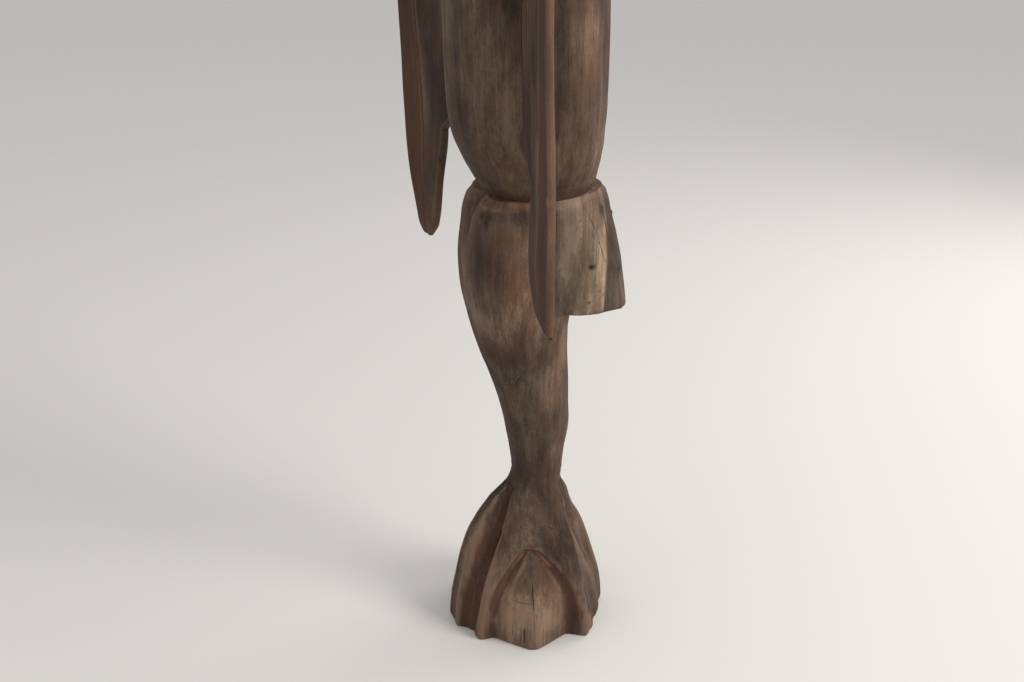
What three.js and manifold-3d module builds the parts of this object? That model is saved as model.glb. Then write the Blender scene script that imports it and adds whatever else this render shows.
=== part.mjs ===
// A tall carved hardwood bird figure that stands on one clawed foot.
// Units are millimetres. +Z is up, the bird looks along -Y, and its left wing is on +X.
// The origin is the middle of the foot's flat underside.
import * as THREE from 'three';
import { mergeVertices } from 'three/addons/utils/BufferGeometryUtils.js';
import Module from 'manifold-3d';

const wasm = await Module();
wasm.setup();

// ---- Driving sizes -------------------------------------------------------

// Foot and leg
const footRadius = 127; // crest of a claw at the floor
const ankleHeight = 268;
const ankleHalfWidth = 46;
const ankleHalfDepth = 39;
const ankleSetBack = 19; // the ankle stands behind the middle of the foot
const waistHeight = 737; // crease between hips and torso, on the torso's own axis
const waistSlope = 0.06; // the crease rises towards the back, mm per mm
const waistSetBack = 15;
const hipHalfWidth = 101;
const hipHalfDepth = 104;

// Claws, as angles in degrees around the foot from the front (-Y) towards +X
const frontClaw = 3;
const sideClaw = 24;
const rearClaw = 125;
const hindClaw = 180;
const frontClawWidth = 18;
const moundAngle = 74;
const moundHalfAngle = 37; // at the floor
const moundHeight = ankleHeight * 0.59;
const moundRadius = footRadius * 1.02;
const moundKeel = 0.75; // slope of the mound's flanks away from its keel, at the floor
const moundProud = 9; // the mound never stands further than this out of the claws
const hindClawGrowth = 1.085; // the hind claw reaches further out than the others

// Torso
const torsoHalfWidth = 135;
const torsoHalfDepth = 119;
const torsoLength = 541;
const neckSeatHeight = waistHeight + torsoLength;

// Tail
const tailLength = 188; // from the crease down to the tail's underside
const tailUnderside = waistHeight - tailLength;
const tailHalfWidth = 94;
const tailBack = 143;
const tailWidestAt = 86; // Y of the ridge where the tail's side turns into its back
const tailFront = 150; // how far forward the tail's mass runs inside the hips, at the crease
const tailSeam = 4; // the tail block butts against the hips on this plane of Y
const coreHalfWidth = 66;
const coreBack = 56;

// Wings
const wingDrop = 149; // how far the feather tips hang below the crease
const wingTip = waistHeight - wingDrop;
const wingTop = waistHeight + torsoLength * 0.946;
const wingSpan = 165; // from the torso's widest side to the outer feather's edge
const wingEdgeThickness = 12;
const wingRootThickness = 15;
const wingNotchTop = waistHeight + torsoLength * 0.148; // the free blade starts below this height
const wingNotchRound = 0.045; // share of the wing's height over which the notch rounds
const wingRootInset = 0.8; // share of the torso's half width where the boards are thickest
const boardBevel = 2.2;
const narrowestBoard = 4;
const boardCrown = 1.06; // a board is this much thicker along its middle
const wingLead = 95; // how far the outer edge lies in front of the torso's axis
const wingHousing = 14; // depth of the groove in the torso that takes the wing

// Head
const headHeight = 276;
const headHalfWidth = 81;
const headHalfDepth = 98;
const headLead = 12;
const beakLength = 112;
const beakHalfWidth = 33;
const eyeRadius = 15;
const eyeAngle = 52;
const eyeRise = 182; // above the neck seat
const eyePegRadius = 4.5;
const eyePegDepth = 16;
const eyeSeatDepth = 6;

// Joinery
const clearance = 0.3;
const waistDowelRadius = 24;
const waistDowelLength = 170;
const neckDowelRadius = 17;
const neckDowelLength = 120;
const tailDowelRadius = 8;
const tailDowelLength = 84;
const tailDowelHeights = [25, 73].map((rise) => tailUnderside + rise);
const tailDowelAhead = 8; // the dowels' middles lie this far behind the core
const wingDowelRadius = 3.6;
const wingDowelLength = 76;
const wingDowelHeights = [0.233, 0.473, 0.713].map((share) => waistHeight + torsoLength * share);
const splineRadius = 2.4;
const splineLength = 40;
const splineHeights = [0.307, 0.603].map((share) => waistHeight + torsoLength * share);
const nailRadius = 2;
const nailHeadRadius = 4.2;
const nailHeadThickness = 1.6;
const nailLength = 62;
const nailHeights = [55, 148].map((rise) => tailUnderside + rise);
const nailRunOut = 30; // the nail holes are cut this far out past the wood

// ---- Mesh resolution -----------------------------------------------------

const legSides = 80;
const torsoSides = 48;
const headSides = 40;
const tailSides = 40;
const beakSides = 16;
const dowelSides = 20;
const pegSides = 12;

// ---- Shared helpers ------------------------------------------------------

const radians = THREE.MathUtils.degToRad;
const lerp = THREE.MathUtils.lerp;
const smoothstep = THREE.MathUtils.smoothstep;

// A smooth curve of one value through [place, value] stations.
function through(stations) {
  const slopeAt = (i) => {
    if (i === 0 || i === stations.length - 1) return 0;
    const [x0, y0] = stations[i - 1];
    const [x1, y1] = stations[i];
    const [x2, y2] = stations[i + 1];
    const before = (y1 - y0) / (x1 - x0);
    const after = (y2 - y1) / (x2 - x1);
    return before * after <= 0 ? 0 : (2 * before * after) / (before + after);
  };
  return (x) => {
    const last = stations.length - 1;
    if (x <= stations[0][0]) return stations[0][1];
    if (x >= stations[last][0]) return stations[last][1];
    const i = stations.findIndex((station) => x < station[0]) - 1;
    const [x0, y0] = stations[i];
    const [x1, y1] = stations[i + 1];
    const span = x1 - x0;
    const t = (x - x0) / span;
    const ease = t * t * (3 - 2 * t);
    const leave = t * (1 - t) * (1 - t) * span * slopeAt(i);
    const arrive = t * t * (t - 1) * span * slopeAt(i + 1);
    return lerp(y0, y1, ease) + leave + arrive;
  };
}

// A closed skin over a stack of rings; every ring runs anticlockwise seen from the last ring.
function ringStack(rings) {
  const sides = rings[0].length;
  const points = rings.flat();
  const middle = (ring) => ring.reduce((sum, p) => sum.add(p), new THREE.Vector3()).divideScalar(sides);
  points.push(middle(rings[0]), middle(rings[rings.length - 1]));
  const index = [];
  for (let ring = 0; ring < rings.length - 1; ring += 1) {
    for (let side = 0; side < sides; side += 1) {
      const a = ring * sides + side;
      const b = ring * sides + ((side + 1) % sides);
      index.push(a, b, b + sides, a, b + sides, a + sides);
    }
  }
  const top = (rings.length - 1) * sides;
  const firstMiddle = rings.length * sides;
  for (let side = 0; side < sides; side += 1) {
    const next = (side + 1) % sides;
    index.push(firstMiddle, next, side, firstMiddle + 1, top + side, top + next);
  }
  const geometry = new THREE.BufferGeometry();
  geometry.setAttribute('position', new THREE.Float32BufferAttribute(points.flatMap((p) => p.toArray()), 3));
  geometry.setIndex(index);
  return geometry;
}

// A three.js geometry as a manifold-3d solid, and back.
function toSolid(geometry) {
  const bare = geometry.clone();
  bare.deleteAttribute('normal');
  bare.deleteAttribute('uv');
  const merged = mergeVertices(bare, 1e-4);
  const vertProperties = new Float32Array(merged.attributes.position.array);
  const triVerts = new Uint32Array(merged.index.array);
  return new wasm.Manifold(new wasm.Mesh({ numProp: 3, vertProperties, triVerts }));
}

function toGeometry(solid) {
  const mesh = solid.getMesh();
  const geometry = new THREE.BufferGeometry();
  geometry.setAttribute('position', new THREE.Float32BufferAttribute(mesh.vertProperties, 3));
  geometry.setIndex(Array.from(mesh.triVerts));
  geometry.computeVertexNormals();
  return geometry;
}

// A box between two corners, as a solid.
function block(low, high) {
  const size = new THREE.Vector3().subVectors(high, low);
  const geometry = new THREE.BoxGeometry(size.x, size.y, size.z);
  geometry.translate((low.x + high.x) / 2, (low.y + high.y) / 2, (low.z + high.z) / 2);
  return toSolid(geometry);
}

// A round bar from one point towards another, as a solid.
function bar(from, direction, length, radius, sides) {
  const geometry = new THREE.CylinderGeometry(radius, radius, length, sides);
  geometry.translate(0, length / 2, 0);
  const turn = new THREE.Quaternion().setFromUnitVectors(new THREE.Vector3(0, 1, 0), direction);
  geometry.applyQuaternion(turn);
  geometry.translate(from.x, from.y, from.z);
  return toSolid(geometry);
}

// A dowel is centred on a point; its hole is the same bar with the clearance all round.
function dowel(centre, direction, length, radius, sides, gap = 0) {
  const full = length + 2 * gap;
  const start = centre.clone().addScaledVector(direction, -full / 2);
  return bar(start, direction, full, radius + gap, sides);
}

const up = new THREE.Vector3(0, 0, 1);
const back = new THREE.Vector3(0, 1, 0);

// The direction, in plan, at an angle from the front (-Y) towards +X.
function outward(degrees) {
  return new THREE.Vector3(Math.sin(radians(degrees)), -Math.cos(radians(degrees)), 0);
}

// Signed angle between two directions, in degrees, from -180 to 180.
function turnBetween(a, b) {
  return THREE.MathUtils.euclideanModulo(a - b + 180, 360) - 180;
}

// The larger of two radii, with the corner between them eased.
function softMax(a, b, ease) {
  const blend = Math.max(ease - Math.abs(a - b), 0) / ease;
  return Math.max(a, b) + (blend * blend * ease) / 4;
}

// ---- Foot and leg --------------------------------------------------------

const clawReach = through([
  [0, 1], [0.14, 0.98], [0.32, 0.91], [0.47, 0.84], [0.59, 0.76],
  [0.7, 0.64], [0.81, 0.52], [0.9, 0.43], [1, 0.35],
]);
const hindReach = (height) => clawReach(height) * lerp(hindClawGrowth, 1, smoothstep(height, 0.1, 0.8));
const sideReach = through([
  [0, 0.93], [0.23, 0.88], [0.41, 0.78], [0.54, 0.62], [0.62, 0.5], [0.75, 0.4], [1, 0.34],
]);
const hollowDepth = through([
  [0, 0.08], [0.23, 0.13], [0.41, 0.2], [0.56, 0.28], [0.72, 0.33], [0.85, 0.24], [1, 0],
]);
const moundReach = through([[0, 1], [0.3, 0.96], [0.65, 0.84], [0.88, 0.71], [1, 0.6]]);
const footSetBack = through([[0, 0], [0.68, 0.05], [0.85, 0.5], [1, 1]]);

// Crests in order around the foot: angle, reach, and what lies between this crest and the next.
const crests = [
  [-rearClaw, clawReach, 'face'],
  [-sideClaw - frontClawWidth, sideReach, 'hollow'],
  [frontClaw - frontClawWidth, clawReach, 'pad'],
  [frontClaw, clawReach, 'hollow'],
  [sideClaw, sideReach, 'face'],
  [rearClaw, clawReach, 'hollow'],
  [hindClaw, hindReach, 'hollow'],
  [360 - rearClaw, clawReach, 'face'],
];

// The clawed foot's radius at an angle and a share of the ankle's height, without the mounds.
function clawedRadius(degrees, height) {
  const turned = THREE.MathUtils.euclideanModulo(degrees + rearClaw, 360) - rearClaw;
  const i = crests.findIndex(([angle], k) => k > 0 && turned < angle) - 1;
  const [from, fromReach, between] = crests[i];
  const [to, toReach] = crests[i + 1];
  const share = (turned - from) / (to - from);
  const reach = lerp(fromReach(height), toReach(height), smoothstep(share, 0, 1));
  const edge = 0.34;
  const valley = smoothstep(share, 0.03, edge) * smoothstep(1 - share, 0.03, edge);
  const depth = { hollow: hollowDepth(height), pad: 0.02, face: 0.03 }[between];
  return footRadius * reach * (1 - depth * valley);
}

function footRadiusAt(degrees, height) {
  const clawed = clawedRadius(degrees, height);
  const z = height * ankleHeight;
  if (z >= moundHeight) return clawed;
  const rise = z / moundHeight;
  const archHalf = moundHalfAngle * Math.sqrt(1 - rise * rise);
  const near = Math.abs(turnBetween(degrees, moundAngle));
  const far = Math.abs(turnBetween(degrees, -moundAngle - frontClawWidth / 3));
  const offMound = Math.min(near, far);
  const inside = 1 - smoothstep(offMound, archHalf - 2, archHalf + 3);
  const turn = radians(offMound);
  const flank = Math.cos(turn) + moundKeel * (1 - rise) * Math.sin(turn);
  const mound = (moundRadius * moundReach(rise)) / flank;
  return lerp(clawed, Math.min(mound, clawed + moundProud), inside);
}

// Shape of the leg from the ankle (0) to the waist (1): shares between ankle and hip sizes.
const legSwell = through([
  [0, 0], [0.07, 0.05], [0.15, 0.15], [0.26, 0.24], [0.36, 0.35], [0.47, 0.48],
  [0.57, 0.58], [0.66, 0.77], [0.77, 0.92], [0.84, 0.98], [0.92, 1], [0.975, 0.9], [1, 0.74],
]);
const legBroad = through([
  [0, 0], [0.15, 0.15], [0.36, 0.36], [0.57, 0.7], [0.77, 0.95], [0.92, 1.02], [1, 1],
]);
const legSetBack = through([
  [0, ankleSetBack], [0.15, 18], [0.26, 12], [0.36, 4], [0.47, -8], [0.57, -13],
  [0.66, -10], [0.77, -3], [0.84, 4], [0.92, 11], [1, waistSetBack],
]);
const thighParting = through([[0.45, 0], [0.6, 8], [0.8, 14], [0.92, 24], [1, 32]]);
const thighEase = 4; // how softly the two thighs run together

// Radius of an ellipse that is off the axis by `offset`, seen from the axis.
function offsetEllipse(direction, offset, halfWidth, halfDepth) {
  const a = (direction.x / halfWidth) ** 2 + (direction.y / halfDepth) ** 2;
  const b = (-2 * direction.x * offset) / halfWidth ** 2;
  const c = (offset / halfWidth) ** 2 - 1;
  return (-b + Math.sqrt(b * b - 4 * a * c)) / (2 * a);
}

// A point on the leg's surface.
function legPoint(degrees, height) {
  const direction = outward(degrees);
  const halfDepth = lerp(ankleHalfDepth, hipHalfDepth, legSwell(height));
  const broad = lerp(ankleHalfWidth, hipHalfWidth, legBroad(height));
  const parting = thighParting(height);
  const near = offsetEllipse(direction, parting, broad - parting, halfDepth);
  const far = offsetEllipse(direction, -parting, broad - parting, halfDepth);
  const radius = softMax(near, far, thighEase);
  const x = radius * direction.x;
  const y = legSetBack(height) + radius * direction.y;
  const tilt = waistSlope * (y - waistSetBack) * smoothstep(height, 0.8, 1);
  return new THREE.Vector3(x, y, lerp(ankleHeight, waistHeight, height) + tilt);
}

function footPoint(degrees, height) {
  const direction = outward(degrees);
  const ankle = offsetEllipse(direction, 0, ankleHalfWidth, ankleHalfDepth);
  const radius = lerp(footRadiusAt(degrees, height), ankle, smoothstep(height, 0.8, 1));
  const y = ankleSetBack * footSetBack(height) + radius * direction.y;
  return new THREE.Vector3(radius * direction.x, y, height * ankleHeight);
}

function aroundRing(sides, pointAt) {
  return Array.from({ length: sides }, (_, side) => pointAt((360 * side) / sides));
}

function legSurface() {
  const footLevels = [0, 0.06, 0.13, 0.2, 0.27, 0.34, 0.41, 0.48, 0.54, 0.59, 0.66, 0.74, 0.82, 0.9];
  const legLevels = [
    0, 0.07, 0.15, 0.26, 0.36, 0.47, 0.57, 0.66, 0.72, 0.77, 0.84, 0.89, 0.93, 0.96, 0.98, 1,
  ];
  const rings = [
    ...footLevels.map((level) => aroundRing(legSides, (angle) => footPoint(angle, level))),
    ...legLevels.map((level) => aroundRing(legSides, (angle) => legPoint(angle, level))),
  ];
  return toSolid(ringStack(rings));
}

// ---- Tail ----------------------------------------------------------------

const ridgeLead = 25; // the ridge ends this far behind the waist's middle
const tailFlare = through([[0, 1], [0.3, 0.97], [0.6, 0.9], [0.85, 0.81], [1, 0.71]]);

// Half width, Y of the widest place, and Y of the back at a level of the tail.
function tailSizes(level) {
  return {
    halfWidth: lerp(tailHalfWidth, hipHalfWidth, level),
    widestAt: lerp(tailWidestAt, waistSetBack + ridgeLead, level),
    backAt: tailBack * tailFlare(level),
  };
}

// A point on the tail's outline: an oval in front, squarer behind the ridge.
function tailPoint(degrees, level) {
  const direction = outward(degrees);
  const { halfWidth, widestAt, backAt } = tailSizes(level);
  const behind = direction.y > 0;
  const squareness = behind ? lerp(3.5, 2.4, level) : 2;
  const reach = behind ? backAt - widestAt : lerp(tailWidestAt, tailFront, level);
  const across = Math.abs(direction.x / halfWidth) ** squareness;
  const along = Math.abs(direction.y / reach) ** squareness;
  const radius = (across + along) ** (-1 / squareness);
  const y = widestAt + radius * direction.y;
  const tilt = waistSlope * (y - waistSetBack) * smoothstep(level, 0.4, 1);
  return new THREE.Vector3(radius * direction.x, y, lerp(tailUnderside, waistHeight, level) + tilt);
}

function tailMass() {
  const levels = [0, 0.12, 0.3, 0.5, 0.7, 0.85, 0.94, 1];
  const ringAt = (level) => aroundRing(tailSides, (angle) => tailPoint(angle, level));
  return toSolid(ringStack(levels.map(ringAt)));
}

// The column of the leg log that passes in front of the tail block.
function legCore(gap) {
  const geometry = new THREE.CylinderGeometry(1, 1, waistHeight, tailSides);
  geometry.rotateX(Math.PI / 2);
  geometry.scale(coreHalfWidth + gap, coreBack + gap, 1);
  geometry.translate(0, 0, waistHeight / 2 + ankleHeight);
  return toSolid(geometry);
}

// Everything behind the seam plane and above the tail's underside.
function behindSeam(gap) {
  const wide = 2 * footRadius;
  const low = new THREE.Vector3(-wide, tailSeam - gap, tailUnderside - gap);
  return block(low, new THREE.Vector3(wide, tailBack + wide, waistHeight + wide));
}

function tailNails() {
  return [-1, 1].map((side, i) => {
    const inward = new THREE.Vector3(-side * 0.35, -1, 0).normalize();
    const skin = tailPoint(180 - side * 45, (nailHeights[i] - tailUnderside) / (waistHeight - tailUnderside));
    const head = new THREE.Vector3(skin.x, skin.y, nailHeights[i]).addScaledVector(inward, nailHeadRadius);
    return { head, inward };
  });
}

function nailSolid({ head, inward }, gap = 0) {
  const cap = bar(head, inward, nailHeadThickness + gap, nailHeadRadius + gap, pegSides);
  const shank = bar(head, inward, nailLength + gap, nailRadius + gap, pegSides);
  return cap.add(shank);
}

// The bore opens outward past the nail's head, so that the head sits just below the wood.
function nailBore(nail) {
  const outside = nail.head.clone().addScaledVector(nail.inward, -nailRunOut);
  const mouthLength = nailRunOut + nailHeadThickness;
  const mouth = bar(outside, nail.inward, mouthLength, nailHeadRadius + clearance, pegSides);
  return nailSolid(nail, clearance).add(mouth);
}

const tailDowels = tailDowelHeights.map((height) => (gap) => {
  const centre = new THREE.Vector3(0, coreBack + tailDowelAhead, height);
  return dowel(centre, back, tailDowelLength, tailDowelRadius, dowelSides, gap);
});

// ---- Torso ---------------------------------------------------------------

const torsoWide = through([
  [0, 0.74], [0.035, 0.79], [0.085, 0.88], [0.15, 0.945], [0.25, 0.98], [0.5, 1], [0.68, 1.035], [0.8, 0.98],
  [0.89, 0.8], [0.96, 0.58], [1, 0.49],
]);
const torsoDeep = through([
  [0, 0.7], [0.035, 0.76], [0.085, 0.845], [0.15, 0.935], [0.25, 0.98], [0.5, 1], [0.68, 1.01], [0.8, 0.94],
  [0.89, 0.78], [0.96, 0.62], [1, 0.555],
]);
const torsoSetBack = through([[0, waistSetBack], [0.05, 11], [0.1, 6], [0.17, 0], [0.5, -3], [1, -4]]);

function torsoLevel(z) {
  return THREE.MathUtils.clamp((z - waistHeight) / torsoLength, 0, 1);
}

function torsoPoint(degrees, level) {
  const direction = outward(degrees);
  const halfWidth = torsoHalfWidth * torsoWide(level);
  const radius = offsetEllipse(direction, 0, halfWidth, torsoHalfDepth * torsoDeep(level));
  const y = torsoSetBack(level) + radius * direction.y;
  const tilt = waistSlope * (y - waistSetBack) * (1 - smoothstep(level, 0, 0.2));
  const seat = clearance * (1 - level);
  return new THREE.Vector3(radius * direction.x, y, waistHeight + torsoLength * level + tilt + seat);
}

function torsoSurface() {
  const levels = [
    0, 0.02, 0.045, 0.075, 0.11, 0.16, 0.25, 0.36, 0.5, 0.6, 0.68, 0.75, 0.82, 0.87, 0.92, 0.96, 1,
  ];
  const ringAt = (level) => aroundRing(torsoSides, (angle) => torsoPoint(angle, level));
  return toSolid(ringStack(levels.map(ringAt)));
}

// Lateral reach of the torso's skin at a height, where the wing meets it.
function torsoSideX(z, y) {
  const level = torsoLevel(z);
  const across = (y - torsoSetBack(level)) / (torsoHalfDepth * torsoDeep(level));
  return torsoHalfWidth * torsoWide(level) * Math.sqrt(Math.max(1 - across * across, 0.05));
}

// ---- Wings ---------------------------------------------------------------

// Shares of wingSpan outside the torso's widest side, against the share of the wing's height.
const featherEdge = through([
  [0, 0.7], [0.016, 0.785], [0.062, 0.842], [0.1, 0.877], [0.155, 0.924], [0.2, 0.959], [0.28, 0.988],
  [0.43, 1], [0.62, 1], [0.775, 0.965], [0.884, 0.85], [0.953, 0.64], [1, 0.36],
]);
const featherGroove = through([
  [0, 0.69], [0.08, 0.661], [0.155, 0.632], [0.295, 0.626], [0.44, 0.673],
  [0.62, 0.72], [0.775, 0.7], [0.93, 0.52], [1, 0.3],
]);
const bladeEdge = through([[0, 0.67], [0.023, 0.58], [0.05, 0.48], [0.1, 0.39], [0.186, 0.325], [0.31, 0.285]]);
const wingSweep = through([[0, 0.1], [0.08, 0.107], [0.31, 0.22], [0.6, 0.25], [1, 0.25]]);
const edgeLead = through([
  [0, 0.71], [0.016, 0.78], [0.1, 0.85], [0.2, 0.91], [0.43, 0.96], [0.62, 1], [1, 0.92],
]);

function wingLevelHeight(level) {
  return lerp(wingTip, wingTop, level);
}

function wingY(x, level) {
  const edgeX = torsoHalfWidth + wingSpan * featherEdge(level);
  return -wingLead * edgeLead(level) + (edgeX - x) * wingSweep(level);
}

// Where the inner board starts: in the torso's groove, or at the free blade's edge.
function wingInnerX(level) {
  const z = wingLevelHeight(level);
  const seatX = torsoSideX(z, wingY(torsoHalfWidth * 0.9, level)) - wingHousing;
  const bladeX = torsoHalfWidth + wingSpan * bladeEdge(level);
  const below = (wingNotchTop - z) / (wingNotchRound * (wingTop - wingTip));
  if (below <= 0) return seatX;
  const arch = Math.sqrt(Math.min(below, 1));
  return lerp(seatX, bladeX, 0.35 + 0.65 * arch);
}

// One ring of a board between two X values; its long edges are bevelled.
function boardRing(innerX, outerX, level, gap) {
  const z = wingLevelHeight(level);
  const rootX = torsoHalfWidth * wingRootInset;
  const fullSpan = torsoHalfWidth + wingSpan * featherEdge(level) - rootX;
  const halfThickness = (x) => {
    const share = THREE.MathUtils.clamp((x - rootX) / fullSpan, 0, 1);
    return lerp(wingRootThickness, wingEdgeThickness, share) / 2 + gap;
  };
  const at = (x, share) => new THREE.Vector3(x, wingY(x, level) + share * halfThickness(x), z);
  const a = innerX - gap;
  const b = outerX + gap;
  const cut = Math.min(boardBevel, (b - a) / 4);
  const middle = (a + b) / 2;
  return [
    at(a, -0.5), at(a + cut, -1), at(middle, -boardCrown), at(b - cut, -1), at(b, -0.5),
    at(b, 0.5), at(b - cut, 1), at(middle, boardCrown), at(a + cut, 1), at(a, 0.5),
  ];
}

const wingLevels = [
  0, 0.016, 0.035, 0.062, 0.1, 0.155, 0.21, 0.26, 0.295, 0.315, 0.327, 0.335,
  0.38, 0.45, 0.53, 0.62, 0.7, 0.775, 0.83, 0.884, 0.92, 0.953, 0.98, 1,
];
const jointGap = clearance / 2 + 0.05; // each board stops this far short of the joint's middle

function wingInnerBoard(gap = 0) {
  return ringStack(wingLevels.map((level) => {
    const grooveX = torsoHalfWidth + wingSpan * featherGroove(level) - jointGap;
    return boardRing(Math.min(wingInnerX(level), grooveX - narrowestBoard), grooveX, level, gap);
  }));
}

function wingOuterBoard() {
  return ringStack(wingLevels.map((level) => {
    const grooveX = torsoHalfWidth + wingSpan * featherGroove(level) + jointGap;
    const edgeX = torsoHalfWidth + wingSpan * featherEdge(level);
    return boardRing(grooveX, Math.max(edgeX, grooveX + narrowestBoard), level, 0);
  }));
}

function mirrored(solid, side) {
  return side > 0 ? solid : solid.mirror([1, 0, 0]);
}

function wingLevelAt(z) {
  return (z - wingTip) / (wingTop - wingTip);
}

// Dowels between the torso and the wing's root, along the wing's own line.
function wingDowel(z, gap = 0) {
  const level = wingLevelAt(z);
  const seatX = wingInnerX(level);
  const along = new THREE.Vector3(1, -wingSweep(level), 0).normalize();
  const centre = new THREE.Vector3(seatX, wingY(seatX, level), z);
  return dowel(centre, along, wingDowelLength, wingDowelRadius, pegSides, gap);
}

// Loose dowels across the joint between the two feather boards.
function wingSpline(z, gap = 0) {
  const level = wingLevelAt(z);
  const x = torsoHalfWidth + wingSpan * featherGroove(level);
  const along = new THREE.Vector3(1, -wingSweep(level), 0).normalize();
  return dowel(new THREE.Vector3(x, wingY(x, level), z), along, splineLength, splineRadius, pegSides, gap);
}

// ---- Head ----------------------------------------------------------------

const headWide = through([
  [0, 0.8], [0.09, 0.73], [0.2, 0.77], [0.4, 0.95], [0.58, 1],
  [0.76, 0.94], [0.9, 0.68], [0.97, 0.4], [1, 0.2],
]);
const headDeep = through([
  [0, 0.66], [0.09, 0.61], [0.2, 0.67], [0.4, 0.91], [0.58, 1],
  [0.76, 0.93], [0.9, 0.7], [0.97, 0.42], [1, 0.22],
]);
const headForward = through([[0, 0.33], [0.2, 0.4], [0.5, 1], [0.8, 0.9], [1, 0.6]]);
const headBase = neckSeatHeight + clearance;

function headPoint(degrees, level, grow = 0) {
  const direction = outward(degrees);
  const halfWidth = headHalfWidth * headWide(level) + grow;
  const radius = offsetEllipse(direction, 0, halfWidth, headHalfDepth * headDeep(level) + grow);
  const y = -headLead * headForward(level) + radius * direction.y;
  return new THREE.Vector3(radius * direction.x, y, headBase + headHeight * level);
}

function headSurface(grow = 0) {
  const levels = [0, 0.05, 0.1, 0.17, 0.25, 0.34, 0.43, 0.52, 0.6, 0.68, 0.76, 0.83, 0.89, 0.94, 0.975, 1];
  const ringAt = (level) => aroundRing(headSides, (angle) => headPoint(angle, level, grow));
  return toSolid(ringStack(levels.map(ringAt)));
}

// A tapering horn along a curve, from rings square to the curve.
function horn(path, halfWidth, halfHeight, steps) {
  const rings = Array.from({ length: steps + 1 }, (_, step) => {
    const t = step / steps;
    const centre = path.getPoint(t);
    const ahead = path.getTangent(t);
    const rise = new THREE.Vector3(0, -ahead.z, ahead.y);
    return aroundRing(beakSides, (degrees) => {
      const angle = radians(degrees);
      const across = new THREE.Vector3(halfWidth(t) * Math.sin(angle), 0, 0);
      return across.addScaledVector(rise, halfHeight(t) * Math.cos(angle)).add(centre);
    });
  });
  return toSolid(ringStack(rings));
}

const beakY = -headLead - headHalfDepth * 0.86;
const beakZ = headBase + headHeight * 0.52;
const beakHalfHeight = 27;
const lowerBeakHalfHeight = 11;
const beakPoint = 2; // half width of the beak's blunt point

function upperBeak() {
  const path = new THREE.QuadraticBezierCurve3(
    new THREE.Vector3(0, beakY, beakZ + 14),
    new THREE.Vector3(0, beakY - beakLength, beakZ + 26),
    new THREE.Vector3(0, beakY - beakLength, beakZ - 62),
  );
  const halfWidth = (t) => lerp(beakHalfWidth, beakPoint, t ** 1.4);
  const halfHeight = (t) => lerp(beakHalfHeight, beakPoint, t ** 1.3);
  return horn(path, halfWidth, halfHeight, 12);
}

function lowerBeak() {
  const path = new THREE.QuadraticBezierCurve3(
    new THREE.Vector3(0, beakY, beakZ - 27),
    new THREE.Vector3(0, beakY - beakLength * 0.45, beakZ - 25),
    new THREE.Vector3(0, beakY - beakLength * 0.66, beakZ - 36),
  );
  const halfWidth = (t) => lerp(beakHalfWidth * 0.78, beakPoint * 1.5, t ** 1.5);
  const halfHeight = (t) => lerp(lowerBeakHalfHeight, beakPoint, t ** 1.6);
  return horn(path, halfWidth, halfHeight, 8);
}

const forward = new THREE.Vector3(0, -1, 0);

// A round tenon runs from inside the head into the root of each half of the beak.
function tenon(insideHead, rise, length, radius) {
  const start = new THREE.Vector3(0, beakY + insideHead, beakZ + rise);
  return bar(start, forward, length, radius, dowelSides);
}

const upperTenon = (gap) => tenon(34 + gap, 16, 66, 10 + gap);
const lowerTenon = (gap) => tenon(30 + gap, -27, 52, 5.5 + gap);

// An eye is a turned button with a domed face and a short peg.
function eyeGeometry(gap) {
  const r = eyeRadius + gap;
  const peg = eyePegRadius + gap;
  const profile = [
    [0, -eyePegDepth - gap], [peg, -eyePegDepth - gap], [peg, -eyeSeatDepth - gap],
    [r, -eyeSeatDepth - gap], [r, 1], [r * 0.86, 4.6], [r * 0.62, 7.2], [r * 0.32, 8.6], [0, 9],
  ];
  return new THREE.LatheGeometry(profile.map(([x, y]) => new THREE.Vector2(x, y)), dowelSides);
}

function placedEye(side, gap) {
  const level = eyeRise / headHeight;
  const point = headPoint(side * eyeAngle, level);
  const direction = outward(side * (eyeAngle + 8));
  const geometry = eyeGeometry(gap);
  geometry.applyQuaternion(new THREE.Quaternion().setFromUnitVectors(new THREE.Vector3(0, 1, 0), direction));
  geometry.translate(point.x, point.y, point.z);
  return toSolid(geometry);
}

// ---- Joinery between the logs -------------------------------------------

const waistCentre = new THREE.Vector3(0, waistSetBack, waistHeight);
const neckCentre = new THREE.Vector3(0, -headLead / 2, neckSeatHeight);
const waistDowel = (gap) => dowel(waistCentre, up, waistDowelLength, waistDowelRadius, dowelSides, gap);
const neckDowel = (gap) => dowel(neckCentre, up, neckDowelLength, neckDowelRadius, dowelSides, gap);

// ---- Assembly ------------------------------------------------------------

const colours = { heartwood: 0x53463a, board: 0x4c3d31, eye: 0x241a14, dowel: 0x8a6a48, iron: 0x4a2c1e };
const figure = new THREE.Group();
figure.name = 'carved_bird_figure';

function place(name, solid, colour, roughness = 0.85, metalness = 0) {
  const material = new THREE.MeshStandardMaterial({ color: colour, roughness, metalness });
  const mesh = new THREE.Mesh(toGeometry(solid), material);
  mesh.name = name;
  figure.add(mesh);
}

const subtractAll = (solid, cutters) => cutters.reduce((rest, cutter) => rest.subtract(cutter), solid);

// Leg log: foot, leg and the front of the hips, with a housing for the tail block.
const lower = legSurface();
const hips = lower.add(tailMass().intersect(behindSeam(0)));
const nails = tailNails();
const housing = behindSeam(0).subtract(legCore(0));
const tailCuts = [...tailDowels.map((bore) => bore(clearance)), ...nails.map(nailBore)];
const legCuts = [housing, waistDowel(clearance), ...tailCuts];
place('leg_and_foot', subtractAll(hips, legCuts), colours.heartwood);

const tailBlank = hips.intersect(behindSeam(-clearance)).subtract(legCore(clearance));
place('tail_block', subtractAll(tailBlank, tailCuts), colours.heartwood);

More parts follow.
